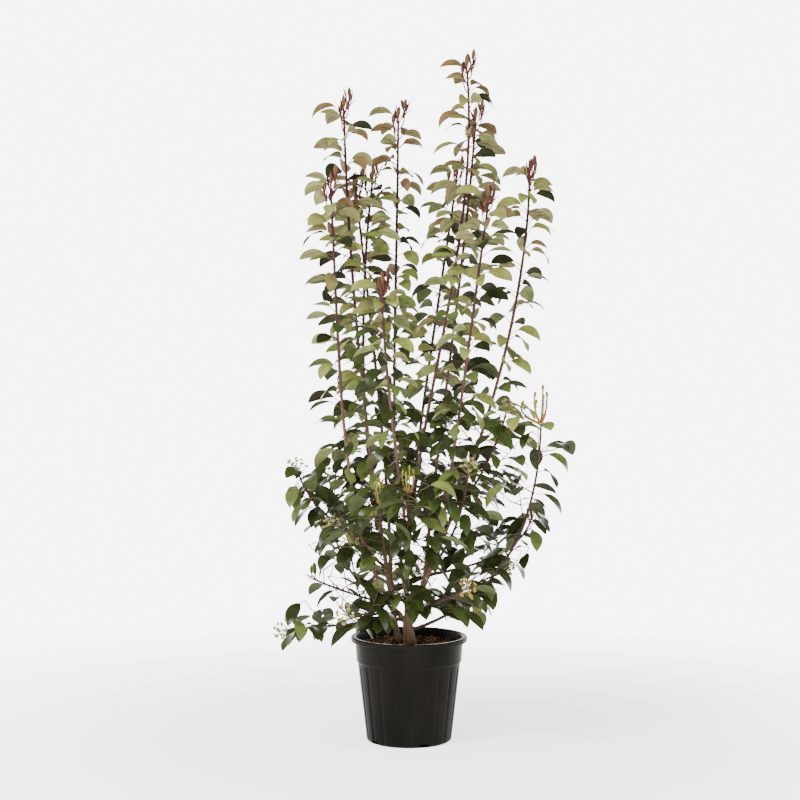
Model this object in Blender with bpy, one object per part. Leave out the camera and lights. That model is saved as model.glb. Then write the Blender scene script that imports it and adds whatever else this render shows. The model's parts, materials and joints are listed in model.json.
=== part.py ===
"""A flowering evergreen shrub with red young shoots, standing in a black nursery pot.

Lengths are in metres and +Z is up. The origin is the centre of the pot's flat underside.
The canes are curved limbs that leave two stems at the compost, and each cane ends in a
leafy shoot of its own. Lower side boughs carry branching shoots with larger leaves.
"""

import math
import random

import bmesh
import bpy
from mathutils import Vector
from mathutils.bvhtree import BVHTree
from mathutils.kdtree import KDTree

# What touching pieces keep between them, and how near two corners count as one
GAP = 0.0003
WELD_DISTANCE = 0.000002

# Pot
POT_HEIGHT = 0.268
RIM_RADIUS = 0.1485
LIP_HEIGHT = 0.013
LIP_ROUNDING = 0.0036
BAND_HEIGHT = 0.048
BAND_TOP_RADIUS = 0.1375
BAND_FOOT_RADIUS = 0.1345
WALL_TOP_RADIUS = 0.1310
BASE_RADIUS = 0.1090
CORNER_SIZE = 0.009
WALL_THICKNESS = 0.0026
FLOOR_THICKNESS = 0.003
STEP_HEIGHT = 0.006
POT_SIDES = 60
SIDES_PER_FLUTE = 3
FLUTE_DEPTH = 0.0022
NOTCH_COUNT = 5
NOTCH_WIDTH = 0.025
NOTCH_HEIGHT = 0.010
NOTCH_REACH_IN = 0.0035
NOTCH_REACH_OUT = 0.010
FIRST_NOTCH_AZIMUTH = -70.5

# Compost
SOIL_TOP = 0.245
SOIL_SIDES = 24
SOIL_TOP_RINGS = (0.80, 0.55, 0.28)
SOIL_LUMP = 0.007
SOIL_FLAT_REACH = 0.055
SOIL_CLEARANCE = 0.0008
SOIL_EDGE_DROP = 0.002

# Stems at the compost
STEM_FOOT = SOIL_TOP + GAP
MAIN_STEM_RADIUS = 0.0135
MAIN_FLARE = 0.007
FLARE_HEIGHT = 0.018
FLARE_LOBES = 3
FLARE_LOBE_SHARE = 0.35
FORK_HEIGHT = 0.283
FORK_LENGTH = 0.030
FORK_RADIUS_SHARE = 0.95
ABOVE_FORK_RADIUS = 0.0072

# Limbs
CURVE_SAMPLES = 80
MAIN_STEM_SIDES = 10
MAIN_STEM_RINGS = 11
FOOT_RING_POWER = 1.8
CANE_SIDES = 6
CANE_RINGS = 5
BOUGH_SIDES = 5
BOUGH_RINGS = 4
TWIG_SIDES = 3
TWIG_RINGS = 1
SHOOT_RING_STEP = 0.11
SPLIT_RADIUS = 0.0042
SIDE_FOOT_RADIUS = 0.0048
SIDE_SPLIT_RADIUS = 0.0030
SIDE_SPLIT_SHARE = 0.32
SHOOT_TIP_RADIUS = 0.0015
TWIG_FOOT_RADIUS = 0.0022
TWIG_TIP_RADIUS = 0.0012
TWIG_LENGTHS = (0.085, 0.125)
TWIG_LIFTS = (0.25, 0.70)
TWIG_SHARES = (0.12, 0.78)
TWIG_LEAN_ALONG = 0.5
TWIG_FREE_RADII = 2.0
LIMB_SHARP_ANGLE = 50.0
POT_SHARP_ANGLE = 30.0

# Leaves: the blade and its stalk together
LOWER_CROWN_TOP = 0.62
UPPER_CROWN_FOOT = 0.95
LOWER_LEAF = dict(length=0.118, width_share=0.40, rise=14.0, fall=-46.0, roll=40.0)
UPPER_LEAF = dict(length=0.096, width_share=0.46, rise=38.0, fall=-24.0, roll=52.0)
LEAF_SIZE_SHARES = (0.84, 1.08)
LEAF_BEND_RANGE = 12.0
LEAF_WIDEST = 0.50
LEAF_THICKNESS_SHARE = 0.015
LEAF_FOLD = 0.22
TIP_SHARE = 0.8
TIP_LEAF_CUT = 0.25
TIP_LEAF_RISE = 18.0
TIP_LEAF_LIFT = 30.0

# How leaves and twigs turn round a shoot and find their places
GOLDEN_ANGLE = math.radians(137.5)
LEAF_TURN_RANGE = 0.4
LEAF_TURN_AGAIN = 0.7
LEAF_TRIES = 9
TWIG_TURN_RANGE = 0.5
TWIG_TURN_AGAIN = 1.1
TWIG_TRIES = 6
LEAN_ALONG_SHOOT = 0.30
LEAN_OUT_OF_CROWN = 0.25
CROWN_MIDDLE_RADIUS = 0.05
CLEARANCE = 0.0007
SPACE_SLACK = 1.5
SPACE_STEP = 0.015
LOWEST_LEAF = 0.205
CROWN_LEFT = -0.309
CROWN_RIGHT = 0.428
CROWN_FRONT = -0.335
CROWN_BACK = 0.345

# Numbers on each kind of shoot
TALL_LEAVES = 22
SIDE_STEM_LEAVES = 5
SIDE_TWIGS = 3
TWIG_LEAVES = 3
STEM_LEAF_SHARES = (0.03, 0.96)
TWIG_LEAF_SHARES = (0.25, 0.94)
TALL_CROWDING = 1.15

# Each stem or tall cane: what it grows from, its height there, two guides that bend it,
# its tip, its radius at the foot and the height at which its leafy shoot begins.
STEMS = {
    "main_stem": dict(
        parent=None, foot=(0.001, 0.0, STEM_FOOT), low=(-0.050, 0.010, 0.70),
        high=(0.190, 0.040, 1.20), tip=(0.147, 0.030, 1.749), radius=MAIN_STEM_RADIUS, split=0.62,
    ),
    "second_stem": dict(
        parent=None, foot=(-0.028, 0.066, STEM_FOOT), low=(-0.085, 0.070, 0.58),
        high=(-0.150, 0.020, 1.05), tip=(-0.166, 0.020, 1.648), radius=0.0075, split=0.58,
    ),
    "left_cane": dict(
        parent="main_stem", height=0.285, low=(-0.180, -0.010, 0.48),
        high=(-0.170, -0.060, 0.90), tip=(-0.196, -0.080, 1.443), radius=0.0066, split=0.52,
    ),
    "right_cane": dict(
        parent="main_stem", height=0.287, low=(0.100, 0.000, 0.56),
        high=(0.290, -0.010, 0.95), tip=(0.306, 0.000, 1.483), radius=0.0085, split=0.60,
    ),
    "back_left_cane": dict(
        parent="second_stem", height=0.345, low=(-0.050, 0.130, 0.70),
        high=(-0.100, 0.160, 1.05), tip=(-0.139, 0.165, 1.460), radius=0.0056, split=0.58,
    ),
    "mid_left_cane": dict(
        parent="second_stem", height=0.480, low=(-0.130, 0.120, 0.75),
        high=(-0.130, 0.100, 1.15), tip=(-0.094, 0.085, 1.472), radius=0.0050, split=0.62,
    ),
    "front_cane": dict(
        parent="main_stem", height=0.420, low=(0.005, -0.090, 0.55),
        high=(-0.060, -0.160, 0.85), tip=(-0.068, -0.165, 1.195), radius=0.0054, split=0.56,
    ),
    "back_cane": dict(
        parent="main_stem", height=0.355, low=(-0.060, 0.110, 0.62),
        high=(-0.030, 0.190, 1.15), tip=(-0.028, 0.175, 1.638), radius=0.0058, split=0.58,
    ),
    "right_back_cane": dict(
        parent="right_cane", height=0.400, low=(0.065, 0.080, 0.72),
        high=(0.140, 0.130, 1.15), tip=(0.173, 0.125, 1.628), radius=0.0056, split=0.60,
    ),
    "far_back_cane": dict(
        parent="main_stem", height=0.455, low=(0.010, 0.120, 0.72),
        high=(0.080, 0.230, 1.12), tip=(0.127, 0.215, 1.488), radius=0.0052, split=0.62,
    ),
    "right_front_cane": dict(
        parent="right_cane", height=0.470, low=(0.110, -0.100, 0.70),
        high=(0.150, -0.140, 1.05), tip=(0.195, -0.130, 1.405), radius=0.0052, split=0.60,
    ),
}

# Each side bough: what it grows from, its height there, its tip, how far it sweeps out
# before it turns up, and the kind of flower shoot at its end.
SIDE_BOUGHS = {
    "low_right_bough": dict(
        parent="main_stem", height=0.270, tip=(0.332, -0.050, 0.895), sweep=0.96, rise=0.34, end="candle",
    ),
    "left_upper_bough": dict(
        parent="second_stem", height=0.470, tip=(-0.281, -0.040, 0.713), sweep=0.75, rise=0.55, end="panicle",
    ),
    "left_front_bough": dict(
        parent="left_cane", height=0.350, tip=(-0.185, -0.175, 0.577), sweep=0.70, rise=0.45, end="panicle",
    ),
    "low_left_bough": dict(
        parent="left_cane", height=0.305, tip=(-0.303, -0.080, 0.318), sweep=0.60, rise=0.90, end="panicle",
    ),
    "right_side_bough": dict(
        parent="right_cane", height=0.420, tip=(0.318, 0.110, 0.593), sweep=0.75, rise=0.30, end="young",
    ),
    "front_left_bough": dict(
        parent="main_stem", height=0.345, tip=(-0.072, -0.225, 0.709), sweep=0.80, rise=0.40, end="candle",
    ),
    "front_bough": dict(
        parent="front_cane", height=0.480, tip=(-0.002, -0.240, 0.740), sweep=0.75, rise=0.45, end="candle",
    ),
    "front_right_bough": dict(
        parent="right_cane", height=0.445, tip=(0.143, -0.215, 0.724), sweep=0.70, rise=0.50, end="panicle",
    ),
    "right_upper_bough": dict(
        parent="right_cane", height=0.560, tip=(0.241, -0.085, 0.860), sweep=0.60, rise=0.60, end="panicle",
    ),
    "low_front_right_bough": dict(
        parent="main_stem", height=0.315, tip=(0.132, -0.205, 0.435), sweep=0.60, rise=0.70, end="panicle",
    ),
    "low_front_left_bough": dict(
        parent="left_cane", height=0.325, tip=(-0.150, -0.200, 0.375), sweep=0.60, rise=0.80, end="panicle",
    ),
    "back_left_bough": dict(
        parent="second_stem", height=0.420, tip=(-0.210, 0.205, 0.670), sweep=0.70, rise=0.50, end="panicle",
    ),
    "back_middle_bough": dict(
        parent="second_stem", height=0.380, tip=(-0.050, 0.290, 0.652), sweep=0.72, rise=0.45, end="candle",
    ),
    "back_right_bough": dict(
        parent="right_back_cane", height=0.460, tip=(0.150, 0.285, 0.700), sweep=0.75, rise=0.50, end="young",
    ),
    "low_right_back_bough": dict(
        parent="main_stem", height=0.330, tip=(0.245, 0.185, 0.430), sweep=0.65, rise=0.75, end="panicle",
    ),
    "low_back_bough": dict(
        parent="second_stem", height=0.315, tip=(0.020, 0.280, 0.420), sweep=0.65, rise=0.75, end="panicle",
    ),
    "low_left_back_bough": dict(
        parent="second_stem", height=0.330, tip=(-0.250, 0.120, 0.440), sweep=0.65, rise=0.70, end="young",
    ),
}

# Flower and young shoots: number of stalks, length, half width, where they are widest, spread,
# and how far they reach above the tip of their shoot's stem.
SHOOT_ENDS = {
    "young": dict(count=3, length=0.052, half=0.0042, widest=0.45, spread=20.0, above=0.042),
    "candle": dict(count=3, length=0.095, half=0.0030, widest=0.70, spread=10.0, above=0.080),
    "panicle": dict(count=3, length=0.046, half=0.0062, widest=0.75, spread=48.0, above=0.022),
}
STALK_ROOT_DEPTH = 0.010
STALK_TURN_RANGE = 0.3
STALK_SPREAD_SHARES = (0.55, 1.0)
STALK_LENGTH_SHARES = (0.75, 1.0)
STALK_FREE_FROM = 0.008

# Colour and roughness
POT_LOOK = ((0.020, 0.020, 0.020), 0.45)
SOIL_LOOK = ((0.10, 0.045, 0.022), 0.95)
BARK_LOOK = ((0.20, 0.11, 0.07), 0.80)
UPPER_LEAF_LOOK = ((0.17, 0.22, 0.05), 0.40)
LOWER_LEAF_LOOK = ((0.045, 0.12, 0.030), 0.35)


class Limb:
    """A centre line through sample points that tapers from its foot to its tip."""

    def __init__(self, samples, radii, directions=None):
        self.samples = samples
        self.radii = radii
        self.lengths = [0.0]
        for here, there in zip(samples, samples[1:]):
            self.lengths.append(self.lengths[-1] + (there - here).length)
        self.length = self.lengths[-1]
        last = len(samples) - 1
        self.directions = directions or [
            (samples[min(k + 1, last)] - samples[max(k - 1, 0)]).normalized() for k in range(last + 1)
        ]

    def place(self, distance):
        """The stretch between samples that holds a distance, and the share of it gone by."""
        k = 0
        while k < len(self.lengths) - 2 and self.lengths[k + 1] < distance:
            k += 1
        return k, (distance - self.lengths[k]) / (self.lengths[k + 1] - self.lengths[k])

    def point(self, distance):
        k, share = self.place(distance)
        return self.samples[k].lerp(self.samples[k + 1], share)

    def direction(self, distance):
        k, share = self.place(distance)
        return self.directions[k].lerp(self.directions[k + 1], share).normalized()

    def radius(self, distance):
        for (start, first), (end, second) in zip(self.radii, self.radii[1:]):
            if distance <= end:
                share = (distance - start) / (end - start)
                return first + (second - first) * share
        return self.radii[-1][1]

    def distance_at_height(self, height):
        for k, sample in enumerate(self.samples):
            if sample.z >= height:
                return self.lengths[k]
        return self.length

    def straightened(self, start, count):
        """The rest of the limb from a distance on, as a few straight stretches."""
        distances = steps(start, self.length, count)
        samples = [self.point(distance) for distance in distances]
        rest = Limb(samples, [], [self.direction(distance) for distance in distances])
        rest.radii = [(length, self.radius(distance)) for length, distance in zip(rest.lengths, distances)]
        return rest


def steps(start, end, count):
    return [start + (end - start) * k / count for k in range(count + 1)]


def curved(points, foot_radius, tip_radius):
    """A limb along the cubic curve that four guide points bend."""
    limb = Limb([bezier_point(points, k / CURVE_SAMPLES) for k in range(CURVE_SAMPLES + 1)], [])
    limb.radii = [(0.0, foot_radius), (limb.length, tip_radius)]
    return limb


def bezier_point(points, share):
    """A point on the cubic curve that four guide points bend."""
    foot, low, high, tip = (Vector(p) for p in points)
    rest = 1.0 - share
    return (
        foot * rest ** 3
        + low * (3.0 * rest ** 2 * share)
        + high * (3.0 * rest * share ** 2)
        + tip * share ** 3
    )


def draws(*words):
    """A random number source of its own for each named thing."""
    return random.Random("/".join(str(word) for word in words))


def smooth_share(value, low, high):
    share = min(max((value - low) / (high - low), 0.0), 1.0)
    return share * share * (3.0 - 2.0 * share)


def principled(name, look):
    colour, roughness = look
    material = bpy.data.materials.new(name)
    material.use_nodes = True
    shader = material.node_tree.nodes["Principled BSDF"]
    shader.inputs["Base Color"].default_value = (*colour, 1.0)
    shader.inputs["Roughness"].default_value = roughness
    shader.inputs["Metallic"].default_value = 0.0
    material.diffuse_color = (*colour, 1.0)
    return material


def new_object(name, shape, look=None):
    """An object from a list of corners and a list of faces."""
    corners, faces = shape
    mesh = bpy.data.meshes.new(name)
    mesh.from_pydata([tuple(c) for c in corners], [], faces)
    mesh.update()
    thing = bpy.data.objects.new(name, mesh)
    bpy.context.scene.collection.objects.link(thing)
    if look:
        mesh.materials.append(principled(name, look))
    return thing


def across(direction):
    """Two unit vectors square to a direction and to each other."""
    side = Vector((0.0, 1.0, 0.0)).cross(direction)
    if side.length < 0.3:
        side = Vector((1.0, 0.0, 0.0)).cross(direction)
    side.normalize()
    return side, direction.cross(side).normalized()


def tube(limb, distances, sides, grow=0.0, profile=None):
    """A closed tapering tube with a ring of corners at each distance along a limb."""
    corners = []
    rings = len(distances) - 1
    for distance in distances:
        centre = limb.point(distance)
        first, second = across(limb.direction(distance))
        for k in range(sides):
            angle = math.tau * k / sides
            radius = limb.radius(distance) + grow / math.cos(math.pi / sides)
            if profile:
                radius += profile(centre.z, angle)
            corners.append(centre + (first * math.cos(angle) + second * math.sin(angle)) * radius)
    faces = [tuple(reversed(range(sides)))]
    for ring in range(rings):
        low = ring * sides
        for k in range(sides):
            after = (k + 1) % sides
            faces.append((low + k, low + after, low + sides + after, low + sides + k))
    faces.append(tuple(range(rings * sides, (rings + 1) * sides)))
    return corners, faces


def turned(rings, sides, radius_at):
    """A closed shape from a profile of radius and height that starts and ends on the axis."""
    corners = [Vector((0.0, 0.0, rings[0][1]))]
    for ring in rings[1:-1]:
        for k in range(sides):
            angle = math.tau * k / sides
            radius = radius_at(ring, k)
            corners.append(Vector((radius * math.cos(angle), radius * math.sin(angle), ring[1])))
    corners.append(Vector((0.0, 0.0, rings[-1][1])))
    last = len(corners) - 1
    faces = []
    for k in range(sides):
        after = (k + 1) % sides
        faces.append((0, 1 + after, 1 + k))
        for ring in range(len(rings) - 3):
            low = 1 + ring * sides
            faces.append((low + k, low + after, low + sides + after, low + sides + k))
        top = 1 + (len(rings) - 3) * sides
        faces.append((top + k, top + after, last))
    return corners, faces


def evaluated_mesh(thing):
    graph = bpy.context.evaluated_depsgraph_get()
    return bpy.data.meshes.new_from_object(thing.evaluated_get(graph))


def combine(thing, pieces, operation, solver="EXACT"):
    """Join pieces to an object, or cut them from it, with one Boolean, and then remove them."""
    group = bpy.data.collections.new(thing.name + "_pieces")
    bpy.context.scene.collection.children.link(group)
    for piece in pieces:
        bpy.context.scene.collection.objects.unlink(piece)
        group.objects.link(piece)
        piece.hide_render = True
        piece.display_type = "WIRE"
    boolean = thing.modifiers.new(operation.lower(), "BOOLEAN")
    boolean.operation = operation
    boolean.operand_type = "COLLECTION"
    boolean.collection = group
    boolean.solver = solver
    result = evaluated_mesh(thing)
    thing.modifiers.remove(boolean)
    for piece in pieces:
        bpy.data.objects.remove(piece)
    bpy.data.collections.remove(group)
    return result


def remove_fins(bm):
    """Take out pairs of faces that lie back to back on the same corners."""
    seen = {}
    for face in bm.faces:
        seen.setdefault(frozenset(vert.index for vert in face.verts), []).append(face)
    fins = [face for pair in seen.values() if len(pair) > 1 for face in pair]
    bmesh.ops.delete(bm, geom=fins, context="FACES_ONLY")
    bmesh.ops.delete(bm, geom=[e for e in bm.edges if not e.link_faces], context="EDGES")
    bmesh.ops.delete(bm, geom=[v for v in bm.verts if not v.link_faces], context="VERTS")


def keep_whole(mesh):
    """Keep only the largest body of a mesh, as triangles; says whether it is closed."""
    bm = bmesh.new()
    bm.from_mesh(mesh)
    bmesh.ops.remove_doubles(bm, verts=bm.verts, dist=WELD_DISTANCE)
    bmesh.ops.triangulate(bm, faces=bm.faces)
    bm.verts.index_update()
    remove_fins(bm)
    unseen = set(bm.faces)
    largest = []
    while unseen:
        body = [unseen.pop()]
        for face in body:
            for edge in face.edges:
                for other in edge.link_faces:
                    if other in unseen:
                        unseen.remove(other)
                        body.append(other)
        if len(body) > len(largest):
            largest = body
    kept = set(largest)
    bmesh.ops.delete(bm, geom=[face for face in bm.faces if face not in kept], context="FACES")
    closed = all(len(edge.link_faces) == 2 for edge in bm.edges)
    bm.to_mesh(mesh)
    bm.free()
    return closed


def fuse(thing, pieces):
    """Join shapes to an object in one Boolean, with the last shape left out where both solvers fail."""
    before = thing.data
    closed = False
    while not closed:
        for solver in ("EXACT", "MANIFOLD"):
            parts = [new_object(thing.name + "_piece", piece) for piece in pieces]
            mesh = combine(thing, parts, "UNION", solver)
            closed = keep_whole(mesh)
            if closed:
                break
        pieces = pieces[:-1]
    thing.data = mesh
    if not mesh.materials:
        mesh.materials.append(before.materials[0])


def cut(thing, shapes):
    """Cut shapes from an object and keep its largest body."""
    before = thing.data
    parts = [new_object(thing.name + "_cutter", shape) for shape in shapes]
    mesh = combine(thing, parts, "DIFFERENCE")
    keep_whole(mesh)
    thing.data = mesh
    if not mesh.materials:
        mesh.materials.append(before.materials[0])


def solid_tree(shape):
    corners, faces = shape
    return BVHTree.FromPolygons([tuple(c) for c in corners], faces)


# Pot and compost

BAND_TOP = POT_HEIGHT - LIP_HEIGHT
BAND_FOOT = BAND_TOP - BAND_HEIGHT
WALL_TOP = BAND_FOOT - STEP_HEIGHT
INNER_STEP_RADIUS = WALL_TOP_RADIUS - FLUTE_DEPTH - WALL_THICKNESS
INNER_BASE_RADIUS = BASE_RADIUS - FLUTE_DEPTH - WALL_THICKNESS
INNER_BAND_RADIUS = BAND_FOOT_RADIUS - WALL_THICKNESS
INNER_RIM_RADIUS = BAND_TOP_RADIUS - WALL_THICKNESS


def pot_shape():
    """A thin bucket: fluted wall, plain band, rolled lip, and a smooth inside."""
    # Each ring is a radius, a height and how deep the grooves are there.
    rings = [
        (0.0, 0.0, 0.0),
        (BASE_RADIUS - CORNER_SIZE, 0.0, 0.0),
        (BASE_RADIUS - CORNER_SIZE * 0.2, CORNER_SIZE * 0.45, 0.3),
        (BASE_RADIUS, CORNER_SIZE * 1.4, 1.0),
        (WALL_TOP_RADIUS, WALL_TOP, 1.0),
        (BAND_FOOT_RADIUS, BAND_FOOT, 0.0),
        (BAND_TOP_RADIUS, BAND_TOP, 0.0),
        (RIM_RADIUS - 0.001, BAND_TOP + 0.0015, 0.0),
        (RIM_RADIUS, BAND_TOP + LIP_HEIGHT * 0.55, 0.0),
        (RIM_RADIUS - LIP_ROUNDING, POT_HEIGHT, 0.0),
        (INNER_RIM_RADIUS, POT_HEIGHT - 0.001, 0.0),
        (INNER_BAND_RADIUS, BAND_FOOT + 0.002, 0.0),
        (INNER_STEP_RADIUS, WALL_TOP, 0.0),
        (INNER_BASE_RADIUS, FLOOR_THICKNESS, 0.0),
        (0.0, FLOOR_THICKNESS, 0.0),
    ]

    def radius_at(ring, side):
        in_groove = side % SIDES_PER_FLUTE == 0
        return ring[0] - (FLUTE_DEPTH * ring[2] if in_groove else 0.0)

    return turned(rings, POT_SIDES, radius_at)


def notch_shape(azimuth):
    """A block that opens a drainage notch in the pot's bottom edge."""
    out = Vector((math.cos(azimuth), math.sin(azimuth), 0.0))
    side = Vector((-out.y, out.x, 0.0))
    inner = INNER_BASE_RADIUS - NOTCH_REACH_IN
    outer = BASE_RADIUS + NOTCH_REACH_OUT
    corners = []
    for reach in (inner, outer):
        for half in (-NOTCH_WIDTH / 2, NOTCH_WIDTH / 2):
            for height in (-NOTCH_HEIGHT, NOTCH_HEIGHT):
                corners.append(out * reach + side * half + Vector((0.0, 0.0, height)))
    faces = [(0, 1, 3, 2), (4, 6, 7, 5), (0, 4, 5, 1), (2, 3, 7, 6), (0, 2, 6, 4), (1, 5, 7, 3)]
    return corners, faces


def soil_shape(feet):
    """The root ball: it fills the pot, and its top is lumpy away from the stems."""
    inset = SOIL_CLEARANCE
    wall_slope = (INNER_RIM_RADIUS - INNER_BAND_RADIUS) / BAND_HEIGHT
    top_radius = INNER_RIM_RADIUS - (POT_HEIGHT - SOIL_TOP) * wall_slope - 2.0 * inset
    rings = [
        (0.0, FLOOR_THICKNESS + GAP),
        (INNER_BASE_RADIUS - inset, FLOOR_THICKNESS + GAP),
        (INNER_STEP_RADIUS - inset, WALL_TOP),
        (INNER_BAND_RADIUS - inset, BAND_FOOT + 0.0035),
        (top_radius, SOIL_TOP - SOIL_EDGE_DROP),
        *((top_radius * share, SOIL_TOP) for share in SOIL_TOP_RINGS),
        (0.0, SOIL_TOP),
    ]
    corners, faces = turned(rings, SOIL_SIDES, lambda ring, side: ring[0])
    lumps = draws("compost")
    for corner in corners:
        lump = lumps.uniform(0.0, SOIL_LUMP)
        away = min((Vector((corner.x, corner.y)) - foot).length for foot in feet)
        if corner.z > SOIL_TOP - SOIL_EDGE_DROP / 2 and away > SOIL_FLAT_REACH:
            corner.z += lump
    return corners, faces


# Limbs

def stem_flare(height, angle):
    """The lobed root flare of the main stem."""
    share = math.exp(-(height - STEM_FOOT) / FLARE_HEIGHT)
    return MAIN_FLARE * share * (1.0 + FLARE_LOBE_SHARE * math.cos(FLARE_LOBES * angle))


def stem_limb(name, limbs):
    """The centre line of a stem or tall cane, and the distance at which its leafy shoot begins."""
    size = STEMS[name]
    if size["parent"]:
        parent = limbs[size["parent"]][0]
        foot = parent.point(parent.distance_at_height(size["height"]))
    else:
        foot = Vector(size["foot"])
    tip = Vector(size["tip"]) - Vector((0.0, 0.0, SHOOT_ENDS["young"]["above"]))
    limb = curved((foot, size["low"], size["high"], tip), size["radius"], SHOOT_TIP_RADIUS)
    if not size["parent"]:
        limb.directions[0] = Vector((0.0, 0.0, 1.0))
    split = limb.distance_at_height(size["split"])
    limb.radii = [(0.0, size["radius"]), (split, SPLIT_RADIUS), (limb.length, SHOOT_TIP_RADIUS)]
    if name == "main_stem":
        fork = limb.distance_at_height(FORK_HEIGHT)
        limb.radii = [
            (0.0, MAIN_STEM_RADIUS),
            (fork, MAIN_STEM_RADIUS * FORK_RADIUS_SHARE),
            (fork + FORK_LENGTH, ABOVE_FORK_RADIUS),
            (split, SPLIT_RADIUS),
            (limb.length, SHOOT_TIP_RADIUS),
        ]
    return limb, split


def side_limb(name, limbs):
    """The centre line of a side bough: it sweeps out from its parent and then turns up."""
    size = SIDE_BOUGHS[name]
    parent = limbs[size["parent"]][0]
    foot = parent.point(parent.distance_at_height(size["height"]))
    tip = Vector(size["tip"]) - Vector((0.0, 0.0, SHOOT_ENDS[size["end"]]["above"]))
    out = Vector((tip.x - foot.x, tip.y - foot.y, 0.0))
    up = Vector((0.0, 0.0, tip.z - foot.z))
    low = foot + out * (size["sweep"] * 0.5) + up * (size["rise"] * 0.3)
    high = foot + out * (0.5 + size["sweep"] * 0.5) + up * size["rise"]
    limb = curved((foot, low, high, tip), SIDE_FOOT_RADIUS, SHOOT_TIP_RADIUS)
    split = limb.length * SIDE_SPLIT_SHARE
    limb.radii = [(0.0, SIDE_FOOT_RADIUS), (split, SIDE_SPLIT_RADIUS), (limb.length, SHOOT_TIP_RADIUS)]
    return limb, split


def limb_shape(name, limb, split, grow=0.0):
    """The bare part of a limb as a tube, thicker all round where it is used to cut a neighbour."""
    if name == "main_stem":
        distances = [split * share ** FOOT_RING_POWER for share in steps(0.0, 1.0, MAIN_STEM_RINGS)]
        return tube(limb, distances, MAIN_STEM_SIDES, grow, stem_flare)
    if name in STEMS:
        return tube(limb, steps(0.0, split, CANE_RINGS), CANE_SIDES, grow)
    return tube(limb, steps(0.0, split, BOUGH_RINGS), BOUGH_SIDES, grow)


# Leaves and shoots

def leaf_shape(root, heading, size, margin=0.0):
    """A folded, arching leaf of eight faces: root, two edges, tip, and a middle above and below."""
    length, width, rise, fall, roll = size
    side = Vector((0.0, 0.0, 1.0)).cross(heading).normalized()
    side = (side * math.cos(roll) + Vector((0.0, 0.0, math.sin(roll)))).normalized()
    bend = fall - rise

    def centre(share):
        turn = rise + bend * share
        run = (math.sin(turn) - math.sin(rise)) / bend
        lift = (math.cos(rise) - math.cos(turn)) / bend
        return root + heading * (run * length) + Vector((0.0, 0.0, lift * length))

    def above(share):
        turn = rise + bend * share
        return (Vector((0.0, 0.0, math.cos(turn))) - heading * math.sin(turn)).normalized()

    half = width / 2 + margin
    thick = length * LEAF_THICKNESS_SHARE
    middle = centre(LEAF_WIDEST)
    up = above(LEAF_WIDEST)
    edge = middle + up * (half * LEAF_FOLD)
    corners = [
        centre(-margin / length), edge + side * half, edge - side * half,
        centre(1.0 + margin / length), middle + up * margin, middle - up * (thick + margin),
    ]
    foot, left, right, tip, top, under = range(6)
    rim = [foot, left, tip, right, foot]
    faces = []
    for here, there in zip(rim, rim[1:]):
        faces.append((there, here, top))
        faces.append((here, there, under))
    return corners, faces


def spindle_shape(root, direction, length, half, widest):
    """A slim three-sided stalk that swells and ends in a point."""
    first, second = across(direction)
    corners = [root]
    for k in range(3):
        angle = math.tau * k / 3
        out = first * math.cos(angle) + second * math.sin(angle)
        corners.append(root + direction * (length * widest) + out * half)
    corners.append(root + direction * length)
    faces = [(0, 2, 1), (0, 3, 2), (0, 1, 3), (1, 2, 4), (2, 3, 4), (3, 1, 4)]
    return corners, faces


def outward(limb, distance, azimuth):
    """The heading of a leaf or twig that leaves a shoot at an azimuth round it."""
    along = limb.direction(distance)
    first, second = across(along)
    out = first * math.cos(azimuth) + second * math.sin(azimuth)
    centre = limb.point(distance)
    from_axis = Vector((centre.x, centre.y, 0.0))
    level = Vector((out.x, out.y, 0.0)) + Vector((along.x, along.y, 0.0)) * LEAN_ALONG_SHOOT
    if from_axis.length > CROWN_MIDDLE_RADIUS:
        level += from_axis.normalized() * LEAN_OUT_OF_CROWN
    return out, level.normalized()


def leaf_size(chance, height, near_tip):
    """Length, width, rise, fall and roll of a leaf: larger and more drooping low in the crown."""
    upper = smooth_share(height, LOWER_CROWN_TOP, UPPER_CROWN_FOOT)
    here = {key: low + (UPPER_LEAF[key] - low) * upper for key, low in LOWER_LEAF.items()}
    length = here["length"] * chance.uniform(*LEAF_SIZE_SHARES) * (1.0 - TIP_LEAF_CUT * near_tip)
    rise = here["rise"] + TIP_LEAF_RISE * near_tip + chance.uniform(-LEAF_BEND_RANGE, LEAF_BEND_RANGE)
    fall = here["fall"] + TIP_LEAF_LIFT * near_tip + chance.uniform(-LEAF_BEND_RANGE, LEAF_BEND_RANGE)
    roll = chance.uniform(-here["roll"], here["roll"])
    width = length * here["width_share"]
    return length, width, math.radians(rise), math.radians(fall), math.radians(roll)


def in_crown(place):
    """True inside the widest reach of the whole crown."""
    return (
        CROWN_LEFT < place.x < CROWN_RIGHT
        and CROWN_FRONT < place.y < CROWN_BACK
        and place.z > LOWEST_LEAF
    )


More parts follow.
